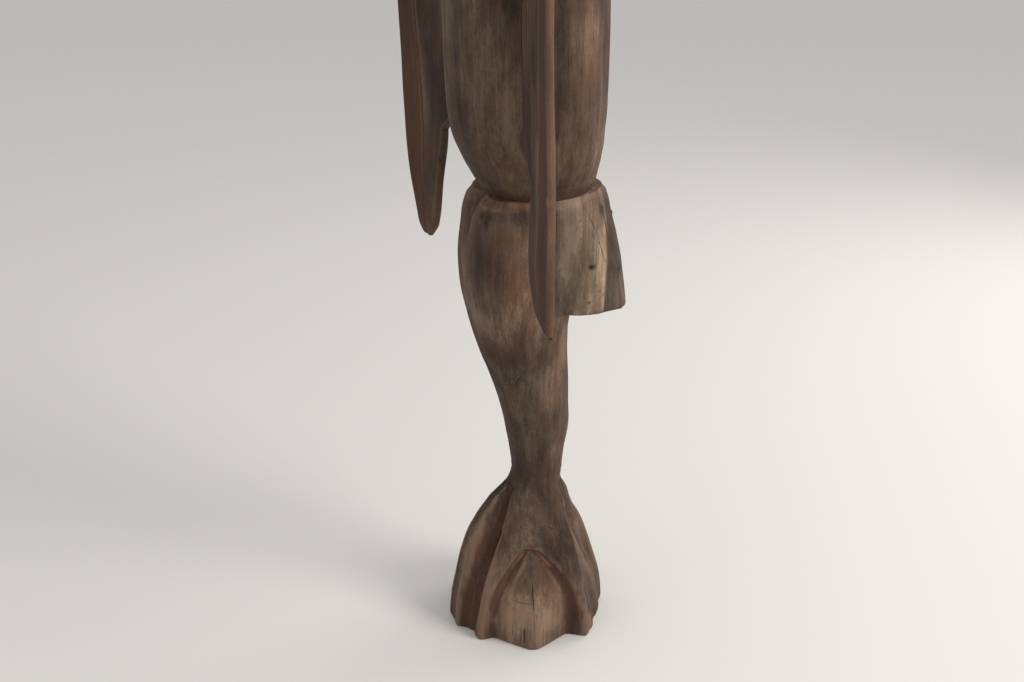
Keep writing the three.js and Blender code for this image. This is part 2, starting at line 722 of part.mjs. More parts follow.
// Torso, with a groove and dowel holes for each wing.
const sides = [['left', 1], ['right', -1]];
const torsoCuts = [waistDowel(clearance), neckDowel(clearance)];
for (const [, side] of sides) {
  torsoCuts.push(mirrored(toSolid(wingInnerBoard(clearance)), side));
  torsoCuts.push(...wingDowelHeights.map((z) => mirrored(wingDowel(z, clearance), side)));
}
place('torso', subtractAll(torsoSurface(), torsoCuts), colours.heartwood);

for (const [name, side] of sides) {
  const splines = splineHeights.map((z) => wingSpline(z, clearance));
  const roots = wingDowelHeights.map((z) => wingDowel(z, clearance));
  const inner = subtractAll(toSolid(wingInnerBoard()), [...splines, ...roots]);
  const outer = subtractAll(toSolid(wingOuterBoard()), splines);
  place(`${name}_wing_inner_board`, mirrored(inner, side), colours.board);
  place(`${name}_wing_outer_board`, mirrored(outer, side), colours.board);
  wingDowelHeights.forEach((z, i) => {
    place(`${name}_wing_dowel_${i + 1}`, mirrored(wingDowel(z), side), colours.dowel);
  });
  splineHeights.forEach((z, i) => {
    place(`${name}_feather_dowel_${i + 1}`, mirrored(wingSpline(z), side), colours.dowel);
  });
}

// Head, beak and eyes.
const eyeSockets = sides.map(([, side]) => placedEye(side, clearance));
const headCuts = [neckDowel(clearance), upperTenon(clearance), lowerTenon(clearance), ...eyeSockets];
place('head', subtractAll(headSurface(), headCuts), colours.heartwood);
place('upper_beak', upperBeak().subtract(headSurface(clearance)).add(upperTenon(0)), colours.board);
place('lower_beak', lowerBeak().subtract(headSurface(clearance)).add(lowerTenon(0)), colours.board);
for (const [name, side] of sides) {
  place(`${name}_eye`, placedEye(side, 0), colours.eye, 0.4);
}

place('waist_dowel', waistDowel(0), colours.dowel);
place('neck_dowel', neckDowel(0), colours.dowel);
tailDowels.forEach((bore, i) => place(`tail_dowel_${i + 1}`, bore(0), colours.dowel));
nails.forEach((nail, i) => place(`tail_nail_${i + 1}`, nailSolid(nail), colours.iron, 0.7, 0.6));

export default figure;
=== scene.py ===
# %% [markdown]
# A tall bird carved from dark tropical hardwood, left bare and grey with age. The CAD model
# gives every log, board, dowel and nail its true place; this script gives them a carved skin
# and weathered wood. First the CAD model is loaded as a fixed frame.

# %% Load the frame
import math

import bpy
import numpy as np
from mathutils import Matrix, Vector, noise


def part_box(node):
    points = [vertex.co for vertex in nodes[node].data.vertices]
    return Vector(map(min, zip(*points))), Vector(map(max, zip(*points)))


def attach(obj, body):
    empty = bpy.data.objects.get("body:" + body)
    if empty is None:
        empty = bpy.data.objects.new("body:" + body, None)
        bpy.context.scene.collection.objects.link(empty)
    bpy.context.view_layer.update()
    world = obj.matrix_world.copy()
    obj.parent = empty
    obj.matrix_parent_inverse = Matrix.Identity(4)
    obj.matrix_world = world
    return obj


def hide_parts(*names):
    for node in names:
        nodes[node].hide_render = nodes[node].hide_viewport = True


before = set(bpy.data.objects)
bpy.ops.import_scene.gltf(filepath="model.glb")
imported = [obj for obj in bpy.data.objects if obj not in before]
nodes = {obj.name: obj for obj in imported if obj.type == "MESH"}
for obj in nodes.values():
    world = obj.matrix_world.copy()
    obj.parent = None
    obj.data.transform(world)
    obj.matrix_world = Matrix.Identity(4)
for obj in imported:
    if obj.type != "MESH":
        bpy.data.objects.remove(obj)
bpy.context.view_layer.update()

MM = 0.001

# %% [markdown]
# The camera and light come first, because they show whether anything else is right. The
# figure is looked down on from 1.3 m, a little in front of its left side, with a 50 mm
# lens. A wide soft light stands to the right, and the pale floor and sky fill the shadows.

# %% Camera
VIEW_AZIMUTH = math.radians(68)
VIEW_PITCH = math.radians(21.5)
VIEW_HEIGHT = 1.3
VIEW_DISTANCE = 2.07
VIEW_SIDESTEP = 0.022

toward_viewer = Vector((math.sin(VIEW_AZIMUTH), -math.cos(VIEW_AZIMUTH), 0))
viewer_right = Vector((math.cos(VIEW_AZIMUTH), math.sin(VIEW_AZIMUTH), 0))
camera_data = bpy.data.cameras.new("camera")
camera_data.lens = 50
camera_data.sensor_width = 36
camera = bpy.data.objects.new("camera", camera_data)
eye_level = Vector((0, 0, VIEW_HEIGHT))
camera.location = toward_viewer * VIEW_DISTANCE - viewer_right * VIEW_SIDESTEP + eye_level
camera.rotation_euler = (math.pi / 2 - VIEW_PITCH, 0, VIEW_AZIMUTH)
bpy.context.collection.objects.link(camera)
bpy.context.scene.camera = camera
print("camera", [round(v, 3) for v in camera.location])

# %% Floor and lights
bpy.context.scene.view_settings.view_transform = "Standard"


def new_material(name):
    material = bpy.data.materials.new(name)
    material.use_nodes = True
    return material, material.node_tree, material.node_tree.nodes["Principled BSDF"]


def plain_material(name, colour, roughness):
    material, _, shader = new_material(name)
    shader.inputs["Base Color"].default_value = (*colour, 1)
    shader.inputs["Roughness"].default_value = roughness
    return material


def add_floor(half_size):
    signs = [(-1, -1), (1, -1), (1, 1), (-1, 1)]
    corners = [(across * half_size, along * half_size, 0) for across, along in signs]
    mesh = bpy.data.meshes.new("floor")
    mesh.from_pydata(corners, [], [(0, 1, 2, 3)])
    mesh.materials.append(plain_material("pale_floor", (0.74, 0.725, 0.7), 0.85))
    floor = bpy.data.objects.new("floor", mesh)
    bpy.context.collection.objects.link(floor)


def add_area_light(name, place, aim, size, watts, colour=(1, 1, 1)):
    data = bpy.data.lights.new(name, "AREA")
    data.shape = "DISK"
    data.size = size
    data.energy = watts
    data.color = colour
    light = bpy.data.objects.new(name, data)
    light.location = place
    light.rotation_euler = (Vector(aim) - Vector(place)).to_track_quat("-Z", "Y").to_euler()
    bpy.context.collection.objects.link(light)


FLOOR_HALF_SIZE = 8
add_floor(FLOOR_HALF_SIZE)
middle = Vector((0, 0, 0.6))
key_place = viewer_right * 2.6 + toward_viewer * 1.5 + Vector((0, 0, 2.7))
fill_place = -viewer_right * 2.4 + toward_viewer * 2.2 + Vector((0, 0, 1.6))
bounce_place = viewer_right * 2.2 - toward_viewer * 1.6 + Vector((0, 0, 1.6))
add_area_light("key_light", key_place, middle, 1.8, 74, (1, 0.96, 0.91))
add_area_light("fill_light", fill_place, middle, 2.0, 5, (0.95, 0.97, 1))
add_area_light("bounce_light", bounce_place, middle, 1.8, 24, (1, 0.97, 0.94))
world = bpy.data.worlds.new("soft_sky")
world.use_nodes = True
world.node_tree.nodes["Background"].inputs["Color"].default_value = (0.98, 0.975, 0.965, 1)
world.node_tree.nodes["Background"].inputs["Strength"].default_value = 0.66
bpy.context.scene.world = world
print("lights ready")

# %% [markdown]
# Each log is a stack of closed rings, as a carver's measured sections would be. A smooth
# curve through a few stations gives each size at every height, and the rings are joined
# into a closed skin. The helpers below do that for whole arrays of angles at once.

# %% Curves through stations
def lerp(a, b, t):
    return a + (b - a) * t


def smoothstep(x, low, high):
    t = np.clip((x - low) / (high - low), 0, 1)
    return t * t * (3 - 2 * t)


def through(*stations):
    xs = np.array([x for x, _ in stations], float)
    ys = np.array([y for _, y in stations], float)
    steps = np.diff(ys) / np.diff(xs)
    slopes = np.zeros(len(xs))
    for i in range(1, len(xs) - 1):
        before, after = steps[i - 1], steps[i]
        slopes[i] = 0 if before * after <= 0 else 2 * before * after / (before + after)

    def value(x):
        x = np.clip(x, xs[0], xs[-1])
        i = np.clip(np.searchsorted(xs, x, side="right") - 1, 0, len(xs) - 2)
        span = xs[i + 1] - xs[i]
        t = (x - xs[i]) / span
        ease = t * t * (3 - 2 * t)
        leave = t * (1 - t) ** 2 * span * slopes[i]
        arrive = t * t * (t - 1) * span * slopes[i + 1]
        return lerp(ys[i], ys[i + 1], ease) + leave + arrive

    return value


def outward(degrees):
    turn = np.radians(degrees)
    return np.sin(turn), -np.cos(turn)


def turn_between(a, b):
    return (a - b + 180) % 360 - 180


def oval_radius(dx, dy, offset, half_width, half_depth):
    a = (dx / half_width) ** 2 + (dy / half_depth) ** 2
    b = -2 * dx * offset / half_width**2
    c = (offset / half_width) ** 2 - 1
    return (-b + np.sqrt(b * b - 4 * a * c)) / (2 * a)


def soft_max(a, b, ease):
    blend = np.maximum(ease - np.abs(a - b), 0) / ease
    return np.maximum(a, b) + blend * blend * ease / 4


# %% [markdown]
# A hand tool never leaves a perfect surface. Smooth noise moves each point a fraction of a
# millimetre along its normal: long shallow waves from the adze, and shorter ones from the
# knife. How far a point stands above or below its surroundings is kept as two attributes,
# worn and hollow, which the wood material later turns into pale edges and red crevices.

# %% Carved skins
def grid_normals(points):
    around = np.roll(points, -1, axis=1) - np.roll(points, 1, axis=1)
    upward = np.gradient(points, axis=0)
    normals = np.cross(around, upward)
    length = np.linalg.norm(normals, axis=2, keepdims=True)
    return normals / np.maximum(length, 1e-9)


def blurred(points, passes):
    result = points.copy()
    for _ in range(passes):
        result = (np.roll(result, 1, axis=1) + np.roll(result, -1, axis=1) + 2 * result) / 4
        inner = (result[:-2] + result[2:] + 2 * result[1:-1]) / 4
        result = np.concatenate([result[:1], inner, result[-1:]])
    return result


def carve(points, depth, seed, reach=(30, 30, 90), fine=0.35):
    normals = grid_normals(points)
    shift = Vector((seed * 7.3, seed * 3.1, seed * 5.7))
    rx, ry, rz = reach
    waves = np.empty(points.shape[:2])
    for index in np.ndindex(waves.shape):
        x, y, z = points[index]
        broad = noise.noise(Vector((x / rx, y / ry, z / rz)) + shift)
        small = noise.noise(Vector((x / 9, y / 9, z / 45)) + shift)
        waves[index] = broad + fine * small
    return points + normals * (waves * depth)[..., None]


def relief(points, passes=10, scale=2.0):
    lift = ((points - blurred(points, passes)) * grid_normals(points)).sum(axis=2)
    lift[:2] = lift[2]
    lift[-2:] = lift[-3]
    return lift / scale


def quads_between(rings, sides):
    ring, side = np.meshgrid(np.arange(rings - 1), np.arange(sides), indexing="ij")
    a = ring * sides + side
    b = ring * sides + (side + 1) % sides
    return np.stack([a, b, b + sides, a + sides], axis=2).reshape(-1, 4).tolist()


def make_piece(name, points, faces, masks, sharp):
    mesh = bpy.data.meshes.new(name)
    mesh.from_pydata((points * MM).tolist(), [], faces)
    for mask_name, values in masks.items():
        attribute = mesh.attributes.new(mask_name, "FLOAT", "POINT")
        attribute.data.foreach_set("value", values.astype(np.float32))
    mesh.polygons.foreach_set("use_smooth", [True] * len(mesh.polygons))
    mesh.set_sharp_from_angle(angle=math.radians(sharp))
    piece = bpy.data.objects.new(name, mesh)
    bpy.context.collection.objects.link(piece)
    print(name, len(mesh.polygons), "faces")
    return piece


def skin(name, points, masks=None, sharp=38):
    rings, sides, _ = points.shape
    ends = np.array([points[0].mean(axis=0), points[-1].mean(axis=0)])
    faces = quads_between(rings, sides)
    around = np.arange(sides)
    after = (around + 1) % sides
    top = (rings - 1) * sides
    first = rings * sides
    faces += np.stack([np.full(sides, first), after, around], axis=1).tolist()
    faces += np.stack([np.full(sides, first + 1), top + around, top + after], axis=1).tolist()
    lift = relief(points)
    masks = dict(masks or {})
    masks["worn"] = np.clip(lift, 0, 1)
    masks["hollow"] = np.maximum(np.clip(-lift, 0, 1), masks.get("hollow", 0))
    with_ends = {
        label: np.concatenate([values.ravel(), [values[0].mean(), values[-1].mean()]])
        for label, values in masks.items()
    }
    vertices = np.concatenate([points.reshape(-1, 3), ends])
    return make_piece(name, vertices, faces, with_ends, sharp)


# %% [markdown]
# The sizes that place the pieces are those of the CAD model, in millimetres, so that the
# skins stay on the frame. The top of the torso is compared with the CAD node as a check.

# %% Sizes shared with the CAD model
def box_mm(node):
    low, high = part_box(node)
    return [v / MM for v in low], [v / MM for v in high]


FOOT_RADIUS = 127
ANKLE_HEIGHT, ANKLE_HALF_WIDTH, ANKLE_HALF_DEPTH, ANKLE_SET_BACK = 268, 46, 39, 19
WAIST_HEIGHT, WAIST_SLOPE, WAIST_SET_BACK = 737, 0.06, 15
HIP_HALF_WIDTH, HIP_HALF_DEPTH = 101, 104
TORSO_HALF_WIDTH, TORSO_HALF_DEPTH, TORSO_LENGTH = 135, 119, 541
TAIL_UNDERSIDE, TAIL_HALF_WIDTH, TAIL_BACK, TAIL_WIDEST_AT, TAIL_SEAM = 549, 94, 143, 86, 4
CORE_HALF_WIDTH, CORE_BACK = 66, 56
WING_TIP, WING_TOP, WING_SPAN, WING_LEAD = 588, 1248.8, 165, 95
WING_EDGE_THICKNESS, WING_ROOT_THICKNESS, WING_HOUSING, WING_NOTCH_TOP = 12, 15, 14, 817
HEAD_HEIGHT, HEAD_HALF_WIDTH, HEAD_HALF_DEPTH, HEAD_LEAD = 276, 81, 98, 12
CLEARANCE = 0.3
NECK_SEAT = WAIST_HEIGHT + TORSO_LENGTH
HEAD_BASE = NECK_SEAT + CLEARANCE
torso_top = box_mm("torso")[1][2]
print("neck seat", NECK_SEAT, "against CAD", round(torso_top, 1))

# %% [markdown]
# The foot is a bunch of claws that grip a rounded mound. Its radius is worked out at each
# angle and height: a crest for every claw, a deep hollow between two claws, and on each
# side a pointed arch with the mound bulging inside it. Where the claws reach highest, they
# melt into the ankle.

# %% Foot
FRONT_CLAW, SIDE_CLAW, REAR_CLAW, HIND_CLAW, FRONT_CLAW_WIDTH = 3, 24, 125, 180, 18
MOUND_ANGLE, MOUND_HALF_ANGLE, MOUND_HEIGHT, MOUND_RADIUS, MOUND_KEEL = 74, 37, 158, 129.5, 0.75
FINGER_END = 50  # degrees from the mound's middle to the claw crests beside it
claw_reach = through(
    (0, 1), (0.14, 0.98), (0.32, 0.91), (0.47, 0.84), (0.59, 0.76),
    (0.7, 0.64), (0.81, 0.52), (0.9, 0.43), (1, 0.35),
)
side_reach = through(
    (0, 0.93), (0.23, 0.88), (0.41, 0.78), (0.54, 0.62), (0.62, 0.5), (0.75, 0.4), (1, 0.34),
)
hollow_depth = through(
    (0, 0.08), (0.23, 0.13), (0.41, 0.2), (0.56, 0.28), (0.72, 0.33), (0.85, 0.24), (1, 0),
)
mound_reach = through((0, 1), (0.3, 0.96), (0.65, 0.84), (0.88, 0.71), (1, 0.6))
foot_set_back = through((0, 0), (0.68, 0.05), (0.85, 0.5), (1, 1))
PAD_DEPTH, FACE_DEPTH = 0.02, 0.035


def hind_reach(height):
    return claw_reach(height) * lerp(1.085, 1, smoothstep(height, 0.1, 0.8))


CRESTS = [
    (-REAR_CLAW, claw_reach, "face"),
    (-SIDE_CLAW - FRONT_CLAW_WIDTH, side_reach, "hollow"),
    (FRONT_CLAW - FRONT_CLAW_WIDTH, claw_reach, "pad"),
    (FRONT_CLAW, claw_reach, "hollow"),
    (SIDE_CLAW, side_reach, "face"),
    (REAR_CLAW, claw_reach, "hollow"),
    (HIND_CLAW, hind_reach, "hollow"),
    (360 - REAR_CLAW, claw_reach, "face"),
]


def leaning(degrees, height):
    arc = np.sin(math.pi * np.clip(height / 0.85, 0, 1))
    left = 8 * np.exp(-((turn_between(degrees, SIDE_CLAW) / 16) ** 2))
    right = -5 * np.exp(-((turn_between(degrees, REAR_CLAW) / 16) ** 2))
    return degrees - arc * (left + right)


def clawed_radius(degrees, height):
    degrees = leaning(degrees, height)
    turned = (degrees + REAR_CLAW) % 360 - REAR_CLAW
    radius = np.zeros(np.broadcast(turned, height).shape)
    for (start, start_reach, between), (end, end_reach, _) in zip(CRESTS, CRESTS[1:]):
        share = (turned - start) / (end - start)
        reach = lerp(start_reach(height), end_reach(height), smoothstep(share, 0, 1))
        valley = smoothstep(share, 0.02, 0.3) * smoothstep(1 - share, 0.02, 0.3)
        depths = {"hollow": hollow_depth(height), "pad": PAD_DEPTH, "face": FACE_DEPTH}
        inside = (share >= 0) & (share < 1)
        radius = np.where(inside, FOOT_RADIUS * reach * (1 - depths[between] * valley), radius)
    return radius


def arch_half_angle(rise):
    return MOUND_HALF_ANGLE * np.sqrt(1 - rise * rise) * (1 - 0.4 * rise**6)


def foot_radius(degrees, height):
    clawed = clawed_radius(degrees, height)
    rise = np.minimum(height * ANKLE_HEIGHT / MOUND_HEIGHT, 1)
    arch_half = arch_half_angle(rise)
    near = np.abs(turn_between(degrees, MOUND_ANGLE))
    far = np.abs(turn_between(degrees, -MOUND_ANGLE - FRONT_CLAW_WIDTH / 3))
    off_mound = np.minimum(near, far)
    inside = 1 - smoothstep(off_mound, arch_half - 4, arch_half + 7)
    inside = np.where(rise < 1, inside, 0)
    turn = np.radians(np.sqrt(off_mound**2 + 4) - 2)
    flank = np.cos(turn) + MOUND_KEEL * (1 - rise) * np.sin(turn)
    mound = MOUND_RADIUS * mound_reach(rise) / flank
    finger_share = np.clip((off_mound - arch_half) / np.maximum(FINGER_END - arch_half, 4), 0, 1)
    finger = 5 * np.sin(math.pi * finger_share) * (1 - smoothstep(height, 0.5, 0.85))
    proud = lerp(9, -5, smoothstep(off_mound / np.maximum(arch_half, 2), 0.45, 1))
    return lerp(clawed + finger, np.minimum(mound, clawed + proud), inside)


def foot_points(degrees, height):
    dx, dy = outward(degrees)
    ankle = oval_radius(dx, dy, 0, ANKLE_HALF_WIDTH, ANKLE_HALF_DEPTH)
    radius = lerp(foot_radius(degrees, height), ankle, smoothstep(height, 0.8, 1))
    tucked = 2.2 * (1 - smoothstep(height, 0, 0.012))
    radius = radius - tucked
    y = ANKLE_SET_BACK * foot_set_back(height) + radius * dy
    return np.stack([radius * dx, y, np.broadcast_to(height * ANKLE_HEIGHT, radius.shape)], axis=-1)


# %% [markdown]
# Above the ankle the log swells into two thighs that part at the top, so each ring there is
# the union of two ovals. Behind the seam the log is cut back to a core that the tail block
# fits around.

# %% Leg
leg_swell = through(
    (0, 0), (0.07, 0.05), (0.15, 0.15), (0.26, 0.24), (0.36, 0.35), (0.47, 0.48), (0.57, 0.58),
    (0.66, 0.77), (0.77, 0.92), (0.84, 0.98), (0.92, 1), (0.975, 0.9), (1, 0.74),
)
leg_broad = through(
    (0, 0), (0.15, 0.15), (0.36, 0.36), (0.57, 0.7), (0.77, 0.95), (0.92, 1.02), (1, 1),
)
leg_set_back = through(
    (0, 19), (0.15, 18), (0.26, 12), (0.36, 4), (0.47, -8), (0.57, -13),
    (0.66, -10), (0.77, -3), (0.84, 4), (0.92, 11), (1, 15),
)
thigh_parting = through((0.45, 0), (0.6, 8), (0.8, 14), (0.92, 24), (1, 32))


def leg_points(degrees, height):
    dx, dy = outward(degrees)
    half_depth = lerp(ANKLE_HALF_DEPTH, HIP_HALF_DEPTH, leg_swell(height))
    broad = lerp(ANKLE_HALF_WIDTH, HIP_HALF_WIDTH, leg_broad(height))
    parting = thigh_parting(height)
    near = oval_radius(dx, dy, parting, broad - parting, half_depth)
    far = oval_radius(dx, dy, -parting, broad - parting, half_depth)
    radius = soft_max(near, far, 3)
    x = radius * dx
    y = leg_set_back(height) + radius * dy
    tilt = WAIST_SLOPE * (y - WAIST_SET_BACK) * smoothstep(height, 0.8, 1)
    return np.stack([x, y, lerp(ANKLE_HEIGHT, WAIST_HEIGHT, height) + tilt], axis=-1)


def angles_around(sides):
    return np.arange(sides) * 360 / sides


def near_point(points, place, size):
    away = np.linalg.norm((points - np.array(place)) / np.array(size), axis=-1)
    return np.exp(-(away**2))


THIGH_KNOT = [
    ((40, -87, 708), (7, 14, 6)),
    ((55, -80, 710), (7, 14, 6)),
    ((52, -84, 699), (6, 14, 9)),
]


def leg_masks(points):
    x, y, z = points[..., 0], points[..., 1], points[..., 2]
    turn = np.degrees(np.arctan2(x, -y))
    mound = 1 - smoothstep(np.abs(np.abs(turn) - MOUND_ANGLE), 22, 36)
    mound = mound * (1 - smoothstep(z, 90, 150))
    # painted shade: the deep hollow between the front claws is made darker and red-brown
    hollow = (1 - smoothstep(np.abs(turn - 13), 5, 11)) * (1 - smoothstep(z, 120, 190))
    rim = smoothstep(z, WAIST_HEIGHT - 26, WAIST_HEIGHT - 4)
    # painted shade: a darker band down the front of the near thigh, where it turns from the light
    shaded_fold = near_point(points, (47, -91, 640), (12, 14, 52))
    leant = leaning(turn, z / ANKLE_HEIGHT)
    side_crest = np.exp(-(((leant - SIDE_CLAW) / 2.4) ** 2)) * smoothstep(z, 20, 50)
    side_crest = side_crest * (1 - smoothstep(z, 180, 225))
    toe_tip = near_point(points, (104, 70, 14), (9, 9, 26))
    knot = sum(near_point(points, place, size) ** 1.5 for place, size in THIGH_KNOT)
    # painted light: the leg's right flank is made paler, where light from behind and to the right
    # falls on it
    lit_flank = near_point(points, (60, 30, 430), (26, 40, 150))
    # painted shade: the middle of the calf, turned from that light, is made darker
    shaded_calf = smoothstep(z, 190, 260) * (1 - smoothstep(z, 470, 540)) * (1 - smoothstep(y, -5, 30))
    right_finger = near_point(points, (100, 40, 60), (25, 22, 60))
    left_finger = near_point(points, (62, -95, 60), (16, 18, 60))
    left_finger = left_finger + near_point(points, (10, -95, 120), (26, 30, 70))
    # painted shade: a red-brown band just inside each arch, where the mound sits back under the
    # claws
    arch = arch_half_angle(np.clip(z / MOUND_HEIGHT, 0, 1))
    off_arch = np.abs(np.abs(turn) - MOUND_ANGLE) - arch
    shade_under_arch = np.exp(-(((off_arch - 1) / 3.2) ** 2)) * (1 - smoothstep(z, 155, 170))
    shade_under_arch = shade_under_arch * smoothstep(z, 20, 90)
    tone = 0.42 * mound - 0.2 * hollow + 0.4 * rim - 0.4 * shaded_fold + 0.3 * lit_flank
    thigh = smoothstep(z, 520, 600) * (1 - smoothstep(z, 700, 715)) * smoothstep(y, -80, -50)
    tone = tone - 0.42 * shaded_calf - 0.5 * right_finger + 0.35 * left_finger + 0.75 * thigh
    arch_top = shade_under_arch * smoothstep(z, 90, 140)
    tan = np.clip(0.6 * rim + 1.2 * side_crest + 1.3 * toe_tip + 0.7 * arch_top, 0, 1)
    # the red-brown here is partly painted shade: the front hollow and the band under each arch
    red = np.clip(hollow + 1.1 * shade_under_arch + 0.3 * right_finger, 0, 1)
    return {"tone": tone, "tan": tan, "hollow": red, "dark_mark_and_shade": np.clip(knot + 0.15 * shaded_fold, 0, 1)}


LEG_SIDES = 272
angles = angles_around(LEG_SIDES)[None, :]
foot_heights = np.concatenate([[0, 0.004, 0.008], np.linspace(0.014, 1, 124)])[:-1, None]
leg_heights = np.linspace(0, 1, 180)[:, None]
leg_grid = np.concatenate([foot_points(angles, foot_heights), leg_points(angles, leg_heights)])
carved_leg = carve(leg_grid, 1.0, seed=1)
carved_leg[:3, :, 2] = leg_grid[:3, :, 2]
leg_skin = skin("carved_leg_log", carved_leg, leg_masks(leg_grid))

# %% [markdown]
# The tail is a separate block behind the hips, hollowed out in front to fit the core of the
# leg log. Its outline is found by walking outward from the seam until the point leaves both
# the hips and the tail's own oval. Its sides run out to a crisp ridge, and a flat facet
# turns in behind each ridge, as a broad chisel leaves it.

# %% Tail block
tail_shoulder = through((0, 1), (0.82, 1), (0.93, 0.96), (1, 0.84))
tail_flare = through((0, 1), (0.3, 0.97), (0.6, 0.9), (0.85, 0.81), (1, 0.71))
TAIL_ARC = 190
TAIL_LEVELS = 120
RIDGE_AT = 87  # how far back the side ends in a crisp ridge
FACET_SLOPE = 0.24
WALK_REACH = 260


def inside_tail(x, y, level):
    half_width = lerp(TAIL_HALF_WIDTH, HIP_HALF_WIDTH, level) * tail_shoulder(level)
    widest = lerp(TAIL_WIDEST_AT, WAIST_SET_BACK + 25, level)
    behind = y > widest
    squareness = np.where(behind, lerp(3.5, 2.4, level), 2)
    to_back = TAIL_BACK * tail_flare(level) - widest
    to_front = lerp(TAIL_WIDEST_AT, 150, level)
    reach = np.where(behind, to_back, to_front)
    oval = (np.abs(x) / half_width) ** squareness + (np.abs(y - widest) / reach) ** squareness
    facet_start = half_width * lerp(0.985, 1.15, smoothstep(level, 0.72, 1))
    facet = np.abs(x) + FACET_SLOPE * (y - RIDGE_AT) - facet_start
    return (oval < 1) & (facet < 0)


def inside_hips(x, y, level):
    above_ankle = lerp(TAIL_UNDERSIDE, WAIST_HEIGHT, level) - ANKLE_HEIGHT
    height = above_ankle / (WAIST_HEIGHT - ANKLE_HEIGHT)
    half_depth = lerp(ANKLE_HALF_DEPTH, HIP_HALF_DEPTH, leg_swell(height))
    broad = lerp(ANKLE_HALF_WIDTH, HIP_HALF_WIDTH, leg_broad(height))
    parting = thigh_parting(height)
    across = np.maximum(np.abs(x) - parting, 0) / (broad - parting)
    return across**2 + ((y - leg_set_back(height)) / half_depth) ** 2 < 1


def walk_outward(dx, dy, level, start, inside):
    low = np.zeros(np.broadcast(dx, level).shape)
    high = low + WALK_REACH
    for _ in range(26):
        halfway = (low + high) / 2
        solid = inside(halfway * dx, start + halfway * dy, level)
        low, high = np.where(solid, halfway, low), np.where(solid, high, halfway)
    return low


def tail_grid():
    level = np.linspace(0, 1, TAIL_LEVELS)[:, None]
    start = TAIL_SEAM + CLEARANCE
    turn = np.linspace(90, 270, TAIL_ARC)[None, :]
    dx, dy = outward(turn)
    in_tail = walk_outward(dx, dy, level, start, inside_tail)
    in_hips = walk_outward(dx, dy, level, start, inside_hips)
    reach = soft_max(in_tail, in_hips, 12)
    chamfer = 5 * (1 - smoothstep(level, 0, 0.045)) ** 2
    reach = reach - chamfer * smoothstep(start + reach * dy, 40, 80)
    outer = np.stack([reach * dx, start + reach * dy, np.zeros_like(reach)], axis=-1)
    core_turn = np.linspace(0, math.pi, TAIL_ARC)[None, :]
    a, b = CORE_HALF_WIDTH + CLEARANCE, CORE_BACK + CLEARANCE
    lift = math.asin(start / b)
    core_turn = lift + core_turn * (math.pi - 2 * lift) / math.pi
    core_x = a * np.cos(core_turn) + 0 * level
    core_y = b * np.sin(core_turn) + 0 * level
    inner = np.stack([core_x, core_y, np.zeros_like(core_x)], axis=-1)
    for side in (outer, inner):
        tilt = WAIST_SLOPE * (side[..., 1] - WAIST_SET_BACK) * smoothstep(level, 0.4, 1)
        side[..., 2] = lerp(TAIL_UNDERSIDE + CLEARANCE, WAIST_HEIGHT, level) + tilt
    return outer, inner


def edge_relief(points, scale=0.8):
    if len(points) < 3:
        return np.zeros(points.shape[:2])
    bend = points[:, 2:] + points[:, :-2] - 2 * points[:, 1:-1]
    normals = grid_normals(points)[:, 1:-1]
    curve = -(bend * normals).sum(axis=2)
    curve = np.concatenate([curve[:, :1], curve, curve[:, -1:]], axis=1)
    curve = (np.roll(curve, 1, axis=1) + np.roll(curve, -1, axis=1) + curve) / 3
    return curve / scale


def open_skin(name, outer, inner, masks, sharp=30):
    rows, count, _ = outer.shape
    ring = np.concatenate([outer, inner[:, ::-1]], axis=1)
    sides = 2 * count
    faces = quads_between(rows, sides)
    step = np.arange(count - 1)
    across = sides - 1 - step
    top = (rows - 1) * sides
    faces += np.stack([step + 1, step, across, across - 1], axis=1).tolist()
    faces += np.stack([top + step, top + step + 1, top + across - 1, top + across], axis=1).tolist()
    lift = edge_relief(outer)
    masks = {**masks, "worn": np.clip(lift, 0, 1), "hollow": np.clip(-lift, 0, 1)}
    unworn = np.zeros(inner.shape[:2])
    both_sides = {
        label: np.concatenate([values, unworn], axis=1).ravel() for label, values in masks.items()
    }
    return make_piece(name, ring.reshape(-1, 3), faces, both_sides, sharp)


tail_outer, tail_inner = tail_grid()
tail_outer = carve(tail_outer, 0.9, seed=2, reach=(24, 24, 50), fine=0.5)


TAIL_PITS = [(94, 79, 588), (92, 85, 580), (94, 63, 571)]
TAIL_HOLE = (98, 65, 627.5)


def tail_masks(points):
    y, z = points[..., 1], points[..., 2]
    # painted shade: the facet behind each ridge, turned from the light, is made darker
    facet = smoothstep(y, RIDGE_AT - 1, RIDGE_AT + 3)
    # painted highlight: a pale line along each ridge
    ridge_highlight = np.exp(-(((y - RIDGE_AT + 2) / 4.5) ** 2))
    ridge_highlight = ridge_highlight * smoothstep(z, 555, 575) * (1 - smoothstep(z, 690, 715))
    # painted shadow: the tail is darker near the hips, where the wing shades it
    wing_shadow_beside_hips = 1 - smoothstep(y, 20, 70)
    rim = smoothstep(z, WAIST_HEIGHT - 22, WAIST_HEIGHT)
    tone = 1.35 * ridge_highlight - 0.64 * facet - 0.5 * wing_shadow_beside_hips + 0.15 * rim - 0.08
    # painted shade: the inside of the worm hole is made near black
    hole_shade = near_point(points, TAIL_HOLE, (9, 6.2, 4.2))
    nail_stain = near_point(points, (92, 82, 716), (5, 4, 6))
    pits = sum(near_point(points, place, 2.6) for place in TAIL_PITS)
    dark_mark_and_shade = np.clip(1.6 * hole_shade**1.5 + 0.8 * nail_stain + 0.9 * pits, 0, 1)
    return {"tone": tone, "tan": 0.5 * rim, "dark_mark_and_shade": dark_mark_and_shade}


